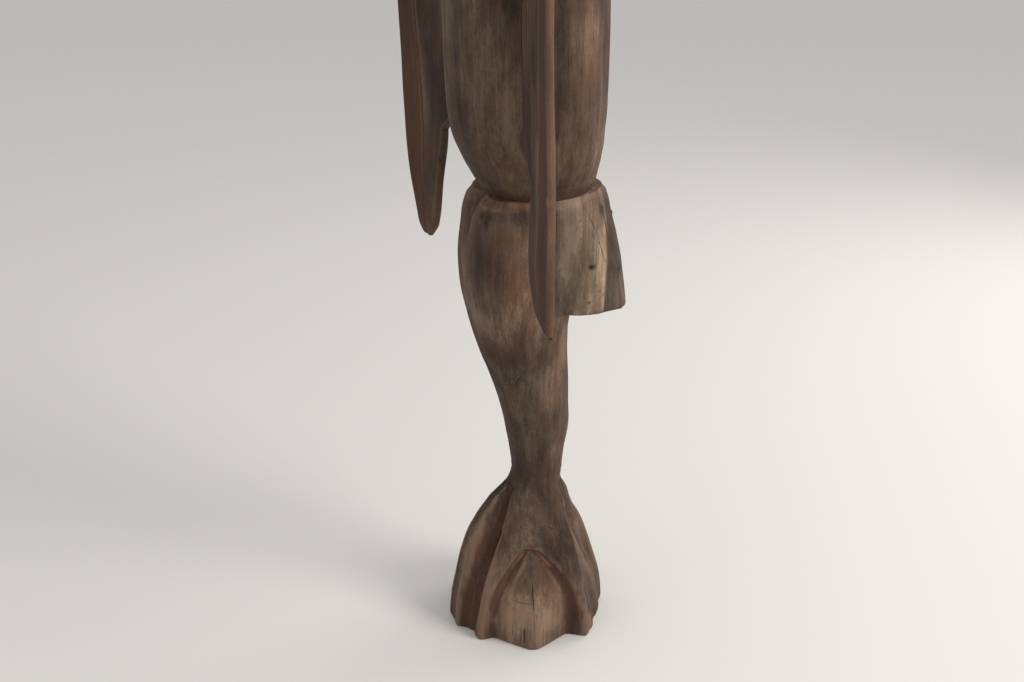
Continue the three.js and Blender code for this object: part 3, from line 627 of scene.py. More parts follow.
HOLE_DEPTH = 3.2
worm_hole = near_point(tail_outer, TAIL_HOLE, (9, 5.5, 3.6))
tail_outer = tail_outer - grid_normals(tail_outer) * (HOLE_DEPTH * worm_hole)[..., None]
tail_skin = open_skin("carved_tail_block", tail_outer, tail_inner, tail_masks(tail_outer))

# %% [markdown]
# The torso is a plain bellied log with a chamfered lower end. A groove is cut down each side
# to house the wing's root.

# %% Torso
torso_wide = through(
    (0, 0.74), (0.035, 0.79), (0.085, 0.88), (0.15, 0.945), (0.25, 0.98), (0.5, 1),
    (0.68, 1.035), (0.8, 0.98), (0.89, 0.8), (0.96, 0.58), (1, 0.49),
)
torso_deep = through(
    (0, 0.7), (0.035, 0.76), (0.085, 0.845), (0.15, 0.935), (0.25, 0.98), (0.5, 1),
    (0.68, 1.01), (0.8, 0.94), (0.89, 0.78), (0.96, 0.62), (1, 0.555),
)
torso_set_back = through((0, 15), (0.05, 11), (0.1, 6), (0.17, 0), (0.5, -3), (1, -4))


def torso_points(degrees, level):
    dx, dy = outward(degrees)
    half_width = TORSO_HALF_WIDTH * torso_wide(level)
    half_depth = TORSO_HALF_DEPTH * torso_deep(level)
    radius = oval_radius(dx, dy, 0, half_width, half_depth)
    y = torso_set_back(level) + radius * dy
    tilt = WAIST_SLOPE * (y - WAIST_SET_BACK) * (1 - smoothstep(level, 0, 0.2))
    seat = CLEARANCE * (1 - level)
    return np.stack([radius * dx, y, WAIST_HEIGHT + TORSO_LENGTH * level + tilt + seat], axis=-1)


def torso_side(z, y):
    level = np.clip((z - WAIST_HEIGHT) / TORSO_LENGTH, 0, 1)
    across = (y - torso_set_back(level)) / (TORSO_HALF_DEPTH * torso_deep(level))
    return TORSO_HALF_WIDTH * torso_wide(level) * np.sqrt(np.maximum(1 - across * across, 0.05))


torso_levels = np.concatenate([np.linspace(0, 0.25, 60)[:-1], np.linspace(0.25, 1, 110)])[:, None]
torso_grid = torso_points(angles_around(200)[None, :], torso_levels)
carved_torso = carve(torso_grid, 1.3, seed=3, reach=(34, 34, 110))
carved_torso[0] = torso_grid[0]


def torso_masks(points):
    y, z = points[..., 1], points[..., 2]
    crease = WAIST_HEIGHT + WAIST_SLOPE * (y - WAIST_SET_BACK)
    # painted shade: the bottom of the torso is made red-brown and its lip darker, where the crease
    # over the hips is in shade
    bottom = 1 - smoothstep(z, crease, crease + 20)
    lip = 1 - smoothstep(z, crease, crease + 6)
    # painted light and shade: the back half is made paler where the light falls, the front darker
    # where it turns away
    front = 1 - smoothstep(y, -105, -60)
    # painted shade: a darker, redder patch on the front left
    shaded_patch = near_point(points, (72, -98, 800), (40, 40, 60))
    tone = 0.3 * smoothstep(y, -10, 50) - 0.2 * front - 0.15 * shaded_patch - 0.25 * lip
    return {"tone": tone, "hollow": np.clip(0.75 * bottom + 0.4 * lip + 0.35 * shaded_patch, 0, 1)}


torso_skin = skin("carved_torso_log", carved_torso, torso_masks(torso_grid))

# %% [markdown]
# Each wing is two boards joined edge to edge. The joint reads as a dark groove, and both
# boards end below in free feather tips with a notch between blade and body. The right wing
# is the left one mirrored, as a carver works the pair from one template.

# %% Wings
feather_edge = through(
    (0, 0.7), (0.016, 0.785), (0.062, 0.842), (0.1, 0.877), (0.155, 0.924), (0.2, 0.959),
    (0.28, 0.988), (0.43, 1), (0.62, 1), (0.775, 0.965), (0.884, 0.85), (0.953, 0.64), (1, 0.36),
)
feather_groove = through(
    (0, 0.69), (0.08, 0.661), (0.155, 0.632), (0.295, 0.626), (0.44, 0.673), (0.62, 0.72),
    (0.775, 0.7), (0.93, 0.52), (1, 0.3),
)
blade_edge = through(
    (0, 0.67), (0.023, 0.58), (0.05, 0.48), (0.1, 0.39), (0.186, 0.325), (0.31, 0.285),
)
wing_sweep = through((0, 0.1), (0.08, 0.107), (0.31, 0.22), (0.6, 0.25), (1, 0.25))
edge_lead = through(
    (0, 0.71), (0.016, 0.78), (0.1, 0.85), (0.2, 0.91), (0.43, 0.96), (0.62, 1), (1, 0.92),
)
WING_LEVELS = 300
BOARD_ACROSS = 34
BEVEL = 2.2
NARROWEST_BOARD = 4.2
BROKEN_TIP = 8  # the end of the right wing has chipped away


def wing_y(x, level):
    edge_x = TORSO_HALF_WIDTH + WING_SPAN * feather_edge(level)
    return -WING_LEAD * edge_lead(level) + (edge_x - x) * wing_sweep(level)


def wing_inner_x(level):
    z = lerp(WING_TIP, WING_TOP, level)
    seat = torso_side(z, wing_y(TORSO_HALF_WIDTH * 0.9, level)) - WING_HOUSING
    blade = TORSO_HALF_WIDTH + WING_SPAN * blade_edge(level)
    below = (WING_NOTCH_TOP - z) / (0.045 * (WING_TOP - WING_TIP))
    arch = np.sqrt(np.clip(below, 0, 1))
    return np.where(below <= 0, seat, lerp(seat, blade, 0.35 + 0.65 * arch))


def board_rings(inner, outer, level):
    share = np.linspace(0, 1, BOARD_ACROSS)[None, :]
    bevel_share = np.minimum(BEVEL / (outer - inner), 0.25)
    ease = np.where(share < 0.5, share, 1 - share)
    eased = smoothstep(ease / bevel_share, 0, 1)
    x = lerp(inner, outer, share)
    seat_x = TORSO_HALF_WIDTH * 0.8
    span = TORSO_HALF_WIDTH + WING_SPAN * feather_edge(level) - seat_x
    taper = np.clip((x - seat_x) / span, 0, 1)
    thin_tip = lerp(0.4, 1, smoothstep(level, 0, 0.045))
    half = lerp(WING_ROOT_THICKNESS, WING_EDGE_THICKNESS, taper) / 2
    half = half * lerp(0.45, 1, eased) * thin_tip
    y = wing_y(x, level)
    z = lerp(WING_TIP, WING_TOP, level) + 0 * x
    front = np.stack([x, y - half, z], axis=-1)
    back = np.stack([x, y + half, z], axis=-1)[:, ::-1]
    return np.concatenate([front, back], axis=1)


wing_level = np.linspace(0, 1, WING_LEVELS)[:, None]
groove_x = TORSO_HALF_WIDTH + WING_SPAN * feather_groove(wing_level)
edge_x = TORSO_HALF_WIDTH + WING_SPAN * feather_edge(wing_level)
inner_start = np.minimum(wing_inner_x(wing_level), groove_x - NARROWEST_BOARD)
joint_gap = CLEARANCE / 2 + 0.05
inner_board = board_rings(inner_start, groove_x - joint_gap, wing_level)
outer_end = np.maximum(edge_x, groove_x + NARROWEST_BOARD)
outer_board = board_rings(groove_x + joint_gap, outer_end, wing_level)


def board_masks(rings, tone):
    x, z = np.abs(rings[..., 0]), rings[..., 2]
    level = (z - WING_TIP) / (WING_TOP - WING_TIP)
    rim_x = TORSO_HALF_WIDTH + WING_SPAN * feather_edge(level)
    joint_x = TORSO_HALF_WIDTH + WING_SPAN * feather_groove(level)
    strip = smoothstep(x, rim_x - 4, rim_x - 1.5) * smoothstep(level, 0, 0.02)
    # partly painted shade: the outer board's face, set back behind the inner board's edge, is made
    # darker and red-brown; the rest of that red is its less weathered wood
    outer_face = smoothstep(x, joint_x - 1, joint_x + 2) * (1 - strip)
    torso_face = wing_inner_x(level) + WING_HOUSING
    root = 1 - smoothstep(x, torso_face, torso_face + 12)
    root = root * smoothstep(z, WING_NOTCH_TOP - 10, WING_NOTCH_TOP + 10)
    joint = np.exp(-(((x - joint_x) / 3.5) ** 2))
    chip = near_point(rings, (294, -93, 797), (5, 9, 8))
    tones = tone + 0.55 * strip - 0.12 * outer_face - 0.35 * joint
    tan = np.clip(0.42 * root + 1.6 * chip, 0, 1)
    red = np.clip(0.55 * outer_face + 0.8 * joint, 0, 1)
    return {"tone": tones, "tan": tan, "hollow": red}


def wing_pair(name, rings, seed, tones):
    rings = carve(rings, 0.45, seed, reach=(16, 30, 70), fine=0.4)
    masks = board_masks(rings, tones[0])
    left = skin(f"carved_left_{name}", rings, masks)
    kept = rings[:, :, 2].min(axis=1) > WING_TIP + BROKEN_TIP
    mirrored = rings[kept][:, ::-1] * np.array([-1, 1, 1])
    masks = board_masks(mirrored, tones[1])
    right = skin(f"carved_right_{name}", mirrored, masks)
    return left, right


# painted shade: the right wing's inner board is made darker, as the shade near the body
inner_boards = wing_pair("inner_board", inner_board, 4, (0.0, -0.2))
outer_boards = wing_pair("outer_board", outer_board, 5, (0.0, 0.35))
print("wing boards", [round(v, 3) for v in (inner_start.min(), edge_x.max())])

# %% [markdown]
# The log of the head swells into a rounded crown, and the hooked beak is made from two
# tapering horns with tenons that go into the head. The eyes are turned from a darker wood.

# %% Head, beak and eyes
head_wide = through(
    (0, 0.8), (0.09, 0.73), (0.2, 0.77), (0.4, 0.95), (0.58, 1),
    (0.76, 0.94), (0.9, 0.68), (0.97, 0.4), (1, 0.2),
)
head_deep = through(
    (0, 0.66), (0.09, 0.61), (0.2, 0.67), (0.4, 0.91), (0.58, 1),
    (0.76, 0.93), (0.9, 0.7), (0.97, 0.42), (1, 0.22),
)
head_forward = through((0, 0.33), (0.2, 0.4), (0.5, 1), (0.8, 0.9), (1, 0.6))
BEAK_LENGTH, BEAK_HALF_WIDTH = 112, 33
EYE_ANGLE, EYE_RISE = 52, 182


def head_points(degrees, level):
    dx, dy = outward(degrees)
    half_width = HEAD_HALF_WIDTH * head_wide(level)
    half_depth = HEAD_HALF_DEPTH * head_deep(level)
    radius = oval_radius(dx, dy, 0, half_width, half_depth)
    y = -HEAD_LEAD * head_forward(level) + radius * dy
    return np.stack([radius * dx, y, HEAD_BASE + HEAD_HEIGHT * level + 0 * radius], axis=-1)


head_level = np.concatenate([np.linspace(0, 0.9, 100)[:-1], np.linspace(0.9, 1, 26)])[:, None]
head_grid = head_points(angles_around(160)[None, :], head_level)
carved_head = carve(head_grid, 0.9, seed=6, reach=(26, 26, 60))
carved_head[0] = head_grid[0]
head_skin = skin("carved_head", carved_head)


def curve_point(a, b, c, t):
    return (1 - t) ** 2 * a + 2 * t * (1 - t) * b + t * t * c


def horn(a, b, c, half_width, half_height, steps, sides=72):
    t = np.linspace(0, 1, steps)[:, None, None]
    centre = curve_point(a, b, c, t)
    ahead = 2 * (1 - t) * (b - a) + 2 * t * (c - b)
    ahead = ahead / np.linalg.norm(ahead, axis=2, keepdims=True)
    rise = np.concatenate([0 * ahead[..., :1], -ahead[..., 2:], ahead[..., 1:2]], axis=2)
    turn = np.radians(angles_around(sides))[None, :, None]
    across = np.array([1.0, 0, 0]) * half_width(t) * np.sin(turn)
    return centre + across + rise * half_height(t) * np.cos(turn)


beak_y = -HEAD_LEAD - HEAD_HALF_DEPTH * 0.86
beak_z = HEAD_BASE + HEAD_HEIGHT * 0.52
BEAK_TENON = 20


def beak_point(ahead, up):
    return np.array([0, beak_y - ahead, beak_z + up])


upper_horn = horn(
    beak_point(-BEAK_TENON, 12), beak_point(BEAK_LENGTH, 26), beak_point(BEAK_LENGTH, -62),
    lambda t: lerp(BEAK_HALF_WIDTH, 2, t**1.4), lambda t: lerp(27, 2, t**1.3), 90,
)
lower_horn = horn(
    beak_point(-BEAK_TENON, -28), beak_point(BEAK_LENGTH * 0.45, -25),
    beak_point(BEAK_LENGTH * 0.66, -36),
    lambda t: lerp(BEAK_HALF_WIDTH * 0.78, 3, t**1.5), lambda t: lerp(11, 2, t**1.6), 70,
)
upper_beak = skin("carved_upper_beak", carve(upper_horn, 0.35, seed=7))
lower_beak = skin("carved_lower_beak", carve(lower_horn, 0.3, seed=8))


EYE_PROFILE = [
    (4.5, -16), (4.5, -6), (15, -6), (15, -3), (15, 0), (14.7, 1.6),
    (13, 4.6), (10.5, 6.6), (7.5, 7.9), (4.2, 8.7), (0.6, 9),
]  # radius and height of each turned ring, from the peg to the crown


def turned_eye(name, side):
    turn = np.radians(angles_around(64))[None, :]
    radius, rise = np.array(EYE_PROFILE).T[:, :, None]
    rings = np.stack([radius * np.cos(turn), radius * np.sin(turn), rise + 0 * turn], axis=-1)
    eye = skin(name, rings, sharp=40)
    height = EYE_RISE / HEAD_HEIGHT
    place = head_points(np.array([[side * EYE_ANGLE]]), np.array([[height]]))[0, 0] * MM
    look = Vector((*outward(side * (EYE_ANGLE + 8)), 0))
    turn_to = look.to_track_quat("Z", "Y").to_matrix().to_4x4()
    eye.data.transform(Matrix.Translation(Vector(place)) @ turn_to)
    return eye


left_eye = turned_eye("turned_left_eye", 1)
right_eye = turned_eye("turned_right_eye", -1)

# %% [markdown]
# The logs and boards are cut where they fit into each other: a groove for each wing's root,
# a hole for each thick dowel and a socket for each eye and each horn of the beak. A cutter
# is a copy of the piece that goes in, grown a little.

# %% Joinery
def grown_copy(source, growth):
    mesh = source.data.copy()
    coordinates = np.empty(len(mesh.vertices) * 3, np.float32)
    mesh.vertices.foreach_get("co", coordinates)
    points = coordinates.reshape(-1, 3)
    low, high = points.min(axis=0), points.max(axis=0)
    centre, size = (low + high) / 2, high - low
    points = centre + (points - centre) * (1 + 2 * growth / size)
    mesh.vertices.foreach_set("co", points.ravel())
    cutter = bpy.data.objects.new(f"cutter_{source.name}", mesh)
    bpy.context.collection.objects.link(cutter)
    return cutter


def cut_with(piece, cutters):
    for cutter in cutters:
        cut = piece.modifiers.new("cut", "BOOLEAN")
        cut.operation = "DIFFERENCE"
        cut.solver = "EXACT"
        cut.object = cutter
    graph = bpy.context.evaluated_depsgraph_get()
    mesh = bpy.data.meshes.new_from_object(piece.evaluated_get(graph))
    piece.modifiers.clear()
    piece.data = mesh
    for cutter in cutters:
        bpy.data.objects.remove(cutter)
    print(piece.name, "cut to", len(mesh.polygons), "faces")


BORE_GROWTH = 0.4 * MM


def cutters_for(names):
    return [grown_copy(nodes[name], BORE_GROWTH) for name in names]


HOUSING_STEPS = 73
HOUSING_REACH = 250
HOUSING_ABOVE_WAIST = 120


def tail_housing():
    core_turn = np.linspace(0, math.pi, HOUSING_STEPS)
    lift = math.asin(TAIL_SEAM / CORE_BACK)
    core_turn = lift + core_turn * (math.pi - 2 * lift) / math.pi
    core = np.stack([CORE_HALF_WIDTH * np.cos(core_turn), CORE_BACK * np.sin(core_turn)], axis=1)
    wide_y = np.maximum(HOUSING_REACH * np.sin(core_turn), TAIL_SEAM)
    wide = np.stack([HOUSING_REACH * np.cos(core_turn), wide_y], axis=1)
    wide[0], wide[-1] = (HOUSING_REACH, TAIL_SEAM), (-HOUSING_REACH, TAIL_SEAM)
    rows = [TAIL_UNDERSIDE, WAIST_HEIGHT + HOUSING_ABOVE_WAIST]
    outer = np.stack([np.column_stack([wide, np.full(HOUSING_STEPS, z)]) for z in rows])
    inner = np.stack([np.column_stack([core, np.full(HOUSING_STEPS, z)]) for z in rows])
    return open_skin("cutter_tail_housing", outer, inner, {})


wing_roots = [grown_copy(board, CLEARANCE * MM) for board in inner_boards]
cut_with(torso_skin, wing_roots + cutters_for(["waist_dowel", "neck_dowel"]))
head_parts = (upper_beak, lower_beak, left_eye, right_eye)
head_sockets = [grown_copy(part, CLEARANCE * MM) for part in head_parts]
cut_with(head_skin, cutters_for(["neck_dowel"]) + head_sockets)
cut_with(leg_skin, [tail_housing()] + cutters_for(["waist_dowel"]))

# %% [markdown]
# Two hand-forged nails hold the tail block. A Geometry Nodes tree makes one nail, a tapered
# shank under a low hammered head, and sets it on each point of a small mesh, turned along
# that point's own facing. Noise gives the head its hammer dents.

# %% Forged nails
def new_tree(name, inputs, outputs, kind="ShaderNodeTree"):
    tree = bpy.data.node_groups.new(name, kind)
    for label, (socket_type, value) in inputs.items():
        socket = tree.interface.new_socket(label, in_out="INPUT", socket_type=socket_type)
        if value is not None:
            socket.default_value = value
    for label, socket_type in outputs.items():
        tree.interface.new_socket(label, in_out="OUTPUT", socket_type=socket_type)
    return tree, tree.nodes.new("NodeGroupInput").outputs, tree.nodes.new("NodeGroupOutput").inputs


def add(tree, kind, sockets=None, **settings):
    node = tree.nodes.new(kind)
    for setting, value in settings.items():
        setattr(node, setting, value)
    for key, value in (sockets or {}).items():
        socket = node.inputs[key]
        if isinstance(value, bpy.types.NodeSocket):
            tree.links.new(value, socket)
        else:
            socket.default_value = value
    return node


def calculate(tree, operation, a, b=0.0, c=0.0, clamp=False):
    sockets = {0: a, 1: b, 2: c}
    return add(tree, "ShaderNodeMath", sockets, operation=operation, use_clamp=clamp).outputs[0]


def vector_math(tree, operation, a, b=None):
    second = "Scale" if operation == "SCALE" else 1
    sockets = {0: a} if b is None else {0: a, second: b}
    node = add(tree, "ShaderNodeVectorMath", sockets, operation=operation)
    return node.outputs["Value" if operation in ("DOT_PRODUCT", "LENGTH") else "Vector"]


def nail_tree(material):
    floats = "NodeSocketFloat"
    tree, given, made = new_tree(
        "forged_nails",
        {
            "Places": ("NodeSocketGeometry", None),
            "Head Radius": (floats, 0.0042),
            "Head Height": (floats, 0.0016),
            "Shank Radius": (floats, 0.002),
            "Shank Length": (floats, 0.06),
            "Dents": (floats, 0.0005),
            "Seed": (floats, 3.0),
        },
        {"Nails": "NodeSocketGeometry"},
        "GeometryNodeTree",
    )

    def step(kind, sockets=None, output=0, **settings):
        return add(tree, kind, sockets, **settings).outputs[output]

    ball = {"Segments": 28, "Rings": 16, "Radius": given["Head Radius"]}
    head = step("GeometryNodeMeshUVSphere", ball, "Mesh")
    squash = calculate(tree, "DIVIDE", given["Head Height"], given["Head Radius"])
    flat = step("ShaderNodeCombineXYZ", {"X": 1.0, "Y": 1.0, "Z": squash})
    flattened = step("GeometryNodeTransform", {"Geometry": head, "Scale": flat})
    bumps = {"W": given["Seed"], "Scale": 420.0, "Detail": 2.0}
    dents = step("ShaderNodeTexNoise", bumps, "Fac", noise_dimensions="4D")
    depth = calculate(tree, "MULTIPLY", calculate(tree, "SUBTRACT", dents, 0.5), given["Dents"])
    shift = vector_math(tree, "SCALE", step("GeometryNodeInputNormal"), depth)
    dented = step("GeometryNodeSetPosition", {"Geometry": flattened, "Offset": shift})
    cone = {"Vertices": 16, "Radius Top": 0.0006, "Radius Bottom": given["Shank Radius"]}
    shank = step("GeometryNodeMeshCone", {**cone, "Depth": given["Shank Length"]}, "Mesh")
    turned = step("GeometryNodeTransform", {"Geometry": shank, "Rotation": (math.pi, 0, 0)})
    one_nail = add(tree, "GeometryNodeJoinGeometry")
    tree.links.new(turned, one_nail.inputs[0])
    tree.links.new(dented, one_nail.inputs[0])
    named = "GeometryNodeInputNamedAttribute"
    direction = step(named, {"Name": "facing"}, "Attribute", data_type="FLOAT_VECTOR")
    aligned = step("FunctionNodeAlignRotationToVector", {"Vector": direction}, axis="Z")
    instance = {"Points": given["Places"], "Instance": one_nail.outputs[0], "Rotation": aligned}
    placed = step("GeometryNodeInstanceOnPoints", instance)
    real = step("GeometryNodeRealizeInstances", {"Geometry": placed})
    finished = step("GeometryNodeSetMaterial", {"Geometry": real, "Material": material})
    tree.links.new(finished, made["Nails"])
    return tree


def nearest_on(points, target):
    flat_points = points.reshape(-1, 3)
    index = np.linalg.norm(flat_points - target, axis=1).argmin()
    return flat_points[index], grid_normals(points).reshape(-1, 3)[index]


def nail_places():
    mesh = bpy.data.meshes.new("forged_tail_nails")
    spots, facings = [], []
    for node in ("tail_nail_1", "tail_nail_2"):
        low, high = box_mm(node)
        side = 1 if low[0] + high[0] > 0 else -1
        outer_x = high[0] if side > 0 else low[0]
        spot, normal = nearest_on(tail_outer, np.array([outer_x, high[1], (low[2] + high[2]) / 2]))
        spots.append(((spot - 0.4 * normal) * MM).tolist())
        facings.append(np.array([side * 0.33, 0.94, 0.0]))
    mesh.from_pydata(spots, [], [])
    attribute = mesh.attributes.new("facing", "FLOAT_VECTOR", "POINT")
    attribute.data.foreach_set("vector", np.concatenate(facings).astype(np.float32))
    places = bpy.data.objects.new("forged_tail_nails", mesh)
    bpy.context.collection.objects.link(places)
    return places


def forge_nails(material):
    nails = nail_places()
    tree = nail_tree(material)
    modifier = nails.modifiers.new("forge", "NODES")
    modifier.node_group = tree
    wanted = {"Dents": 0.0006, "Seed": 3.0}
    for item in tree.interface.items_tree:
        if item.in_out == "INPUT" and item.name in wanted:
            modifier[item.identifier] = wanted[item.name]
    graph = bpy.context.evaluated_depsgraph_get()
    mesh = bpy.data.meshes.new_from_object(nails.evaluated_get(graph))
    nails.modifiers.clear()
    nails.data = mesh
    print(nails.name, len(mesh.polygons), "faces")
    return nails


# %% [markdown]
# The finish is bare wood that has dried for years. A shared group makes the grain: broad
# bands of tone, long streaks and fine fibres, all running up the log. A second group makes
# the fine drying cracks. A third wears the wood: proud edges go pale, hollows keep a red
# brown that in places is painted shade, and painted masks add fresh tan wood where a corner
# has been knocked, and near black for dark knots, stains and painted shade.

# %% Shared wood effects
COLOUR, FLOAT, VECTOR = "NodeSocketColor", "NodeSocketFloat", "NodeSocketVector"


def mix_colour(tree, share, a, b):
    return add(tree, "ShaderNodeMix", {0: share, 6: a, 7: b}, data_type="RGBA").outputs[2]


def ramp_between(tree, value, low, high):
    sockets = {"Value": value, "From Min": low, "From Max": high}
    return add(tree, "ShaderNodeMapRange", sockets, interpolation_type="SMOOTHSTEP").outputs[0]


def object_place(tree):
    return add(tree, "ShaderNodeTexCoord").outputs["Object"]


def stretched(tree, scale):
    return vector_math(tree, "MULTIPLY", object_place(tree), scale)


def noise_texture(tree, vector, scale=1.0, detail=3.0, **more):
    sockets = {"Vector": vector, "Scale": scale, "Detail": detail, **more}
    return add(tree, "ShaderNodeTexNoise", sockets).outputs


def rgba(r, g, b):
    def linear(v):
        v = v / 255
        return v / 12.92 if v <= 0.04045 else ((v + 0.055) / 1.055) ** 2.4

    return (linear(r), linear(g), linear(b), 1)


def grain_group():
    tree, given, made = new_tree(
        "long_grain",
        {
            "Dark": (COLOUR, rgba(60, 44, 34)),
            "Middle": (COLOUR, rgba(96, 76, 60)),
            "Pale": (COLOUR, rgba(140, 118, 98)),
            "Stain": (COLOUR, rgba(96, 58, 38)),
            "Offset": (VECTOR, (0, 0, 0)),
            "Lightness": (FLOAT, 0.0),
        },
        {"Color": COLOUR, "Height": FLOAT, "Fibre": FLOAT},
    )
    bends = noise_texture(tree, stretched(tree, (6, 6, 2.2)))["Color"]
    sway = vector_math(tree, "MULTIPLY", bends, (0.02, 0.02, 0.0))
    swayed = vector_math(tree, "ADD", object_place(tree), sway)
    moved = vector_math(tree, "ADD", swayed, given["Offset"])

    def noise_at(stretch, detail, roughness=0.6):
        vector = vector_math(tree, "MULTIPLY", moved, stretch)
        return noise_texture(tree, vector, detail=detail, Roughness=roughness)["Fac"]

    patches = noise_at((13, 13, 6), 6.0, 0.62)
    streaks = noise_at((130, 130, 4), 5.0, 0.6)
    fibres = noise_at((720, 720, 22), 4.0, 0.7)
    stains = noise_at((30, 30, 13), 5.0, 0.6)
    rings = noise_at((34, 34, 1.2), 3.0)
    tone = calculate(tree, "MULTIPLY", streaks, 0.35)
    for layer, share in ((patches, 1.0), (rings, 0.3), (fibres, 0.28)):
        tone = calculate(tree, "MULTIPLY_ADD", layer, share, tone)
    grit = noise_at((420, 420, 210), 5.0, 0.7)
    tone = calculate(tree, "MULTIPLY_ADD", calculate(tree, "SUBTRACT", grit, 0.5), 0.25, tone)
    tone = calculate(tree, "ADD", calculate(tree, "SUBTRACT", tone, 0.09), given["Lightness"])
    low = ramp_between(tree, tone, 0.7, 0.92)
    high = ramp_between(tree, tone, 0.88, 1.12)
    colour = mix_colour(tree, low, given["Dark"], given["Middle"])
    colour = mix_colour(tree, high, colour, given["Pale"])
    reddened = mix_colour(tree, 0.22, colour, given["Stain"])
    colour = mix_colour(tree, ramp_between(tree, stains, 0.47, 0.66), colour, reddened)
    height = calculate(tree, "MULTIPLY", streaks, 0.5)
    height = calculate(tree, "MULTIPLY_ADD", fibres, 0.35, height)
    tree.links.new(colour, made["Color"])
    tree.links.new(height, made["Height"])
    tree.links.new(fibres, made["Fibre"])
    return tree


def drying_crack_group():
    tree, given, made = new_tree(
        "drying_cracks",
        {"Offset": (VECTOR, (0, 0, 0)), "Amount": (FLOAT, 0.5), "Size": (FLOAT, 1.0)},
        {"Mask": FLOAT},
    )
    moved = vector_math(tree, "ADD", object_place(tree), given["Offset"])
    wander = noise_texture(tree, moved, scale=26.0, detail=4.0)["Color"]
    shift = vector_math(tree, "MULTIPLY", wander, (0.004, 0.004, 0.03))
    bent = vector_math(tree, "ADD", moved, shift)
    sockets = {"Vector": vector_math(tree, "MULTIPLY", bent, (48, 48, 2.4)), "Scale": given["Size"]}
    cells = add(tree, "ShaderNodeTexVoronoi", sockets, feature="DISTANCE_TO_EDGE")
    from_edge = ramp_between(tree, cells.outputs["Distance"], 0.004, 0.022)
    line = calculate(tree, "SUBTRACT", 1.0, from_edge)
    region = noise_texture(tree, moved, scale=13.0)["Fac"]
    edge = calculate(tree, "SUBTRACT", 0.78, calculate(tree, "MULTIPLY", given["Amount"], 0.3))
    shown = ramp_between(tree, region, edge, calculate(tree, "ADD", edge, 0.05))
    tree.links.new(calculate(tree, "MULTIPLY", line, shown), made["Mask"])
    return tree


def crack_line_group():
    tree, given, made = new_tree(
        "one_crack",
        {
            "Start": (VECTOR, (0, 0, 0)),
            "End": (VECTOR, (0, 0, 0.1)),
            "Inward": (VECTOR, (1, 0, 0)),
            "Width": (FLOAT, 0.0008),
            "Wander": (FLOAT, 0.003),
        },
        {"Mask": FLOAT},
    )

    def vector(operation, a, b=None):
        return vector_math(tree, operation, a, b)

    place = object_place(tree)
    wave = noise_texture(tree, place, scale=70.0)["Color"]
    sway = vector("SCALE", vector("SUBTRACT", wave, (0.5, 0.5, 0.5)), given["Wander"])
    along = vector("SUBTRACT", given["End"], given["Start"])
    reach = vector("SUBTRACT", vector("ADD", place, sway), given["Start"])
    dot = vector("DOT_PRODUCT", reach, along)
    share = calculate(tree, "DIVIDE", dot, vector("DOT_PRODUCT", along, along), clamp=True)
    away = vector("SUBTRACT", reach, vector("SCALE", along, share))
    depth = vector("DOT_PRODUCT", away, given["Inward"])
    beside = vector("SUBTRACT", away, vector("SCALE", given["Inward"], depth))
    distance = vector("LENGTH", beside)
    nearby = calculate(tree, "LESS_THAN", calculate(tree, "ABSOLUTE", depth), 0.02)
    middle_share = calculate(tree, "MULTIPLY", share, calculate(tree, "SUBTRACT", 1.0, share))
    swell = calculate(tree, "MULTIPLY_ADD", middle_share, 3.2, 0.25)
    width = calculate(tree, "MULTIPLY", given["Width"], swell)
    inner = calculate(tree, "MULTIPLY", width, 0.5)
    line = calculate(tree, "SUBTRACT", 1.0, ramp_between(tree, distance, inner, width))
    mask = calculate(tree, "MULTIPLY", line, nearby)
    tree.links.new(mask, made["Mask"])
    return tree


def wear_group():
    tree, given, made = new_tree(
        "wear",
        {
            "Color": (COLOUR, (0.1, 0.08, 0.06, 1)),
            "Pale Edge": (COLOUR, rgba(122, 98, 80)),
            "Red Hollow": (COLOUR, rgba(70, 42, 28)),
            "Fresh Wood": (COLOUR, rgba(132, 90, 66)),
            "Edge Amount": (FLOAT, 0.7),
            "Hollow Amount": (FLOAT, 0.7),
        },
        {"Color": COLOUR, "Roughness": FLOAT},
    )

    def painted(name):
        return add(tree, "ShaderNodeAttribute", attribute_name=name).outputs["Fac"]

    breakup = noise_texture(tree, stretched(tree, (90, 90, 40)), detail=5.0)["Fac"]
    rough_edge = calculate(tree, "MULTIPLY_ADD", breakup, 1.1, -0.1)
    worn = calculate(tree, "MULTIPLY", painted("worn"), rough_edge)
    worn = calculate(tree, "MULTIPLY", ramp_between(tree, worn, 0.06, 0.42), given["Edge Amount"])
    # red-brown: the redder wood kept in hollows, and painted shade where masks add creases, arches
    # and the wings' outer faces
    hollow = ramp_between(tree, painted("hollow"), 0.05, 0.6)
    hollow = calculate(tree, "MULTIPLY", hollow, given["Hollow Amount"])
    fresh = ramp_between(tree, calculate(tree, "MULTIPLY", painted("tan"), rough_edge), 0.12, 0.55)
    # near black: dark knots and stains, and painted shade in the worm hole and on the thigh fold
    knot_stain_and_shade = calculate(tree, "MULTIPLY", painted("dark_mark_and_shade"), 0.85)
    colour = mix_colour(tree, hollow, given["Color"], given["Red Hollow"])
    colour = mix_colour(tree, worn, colour, given["Pale Edge"])
    colour = mix_colour(tree, fresh, colour, given["Fresh Wood"])
    colour = mix_colour(tree, knot_stain_and_shade, colour, (0.012, 0.008, 0.006, 1))
    roughness = calculate(tree, "MULTIPLY_ADD", worn, -0.12, 0.82)
    tree.links.new(colour, made["Color"])
    tree.links.new(calculate(tree, "MULTIPLY_ADD", hollow, 0.1, roughness), made["Roughness"])
    return tree


GRAIN = grain_group()
DRYING_CRACKS = drying_crack_group()
ONE_CRACK = crack_line_group()
WEAR = wear_group()

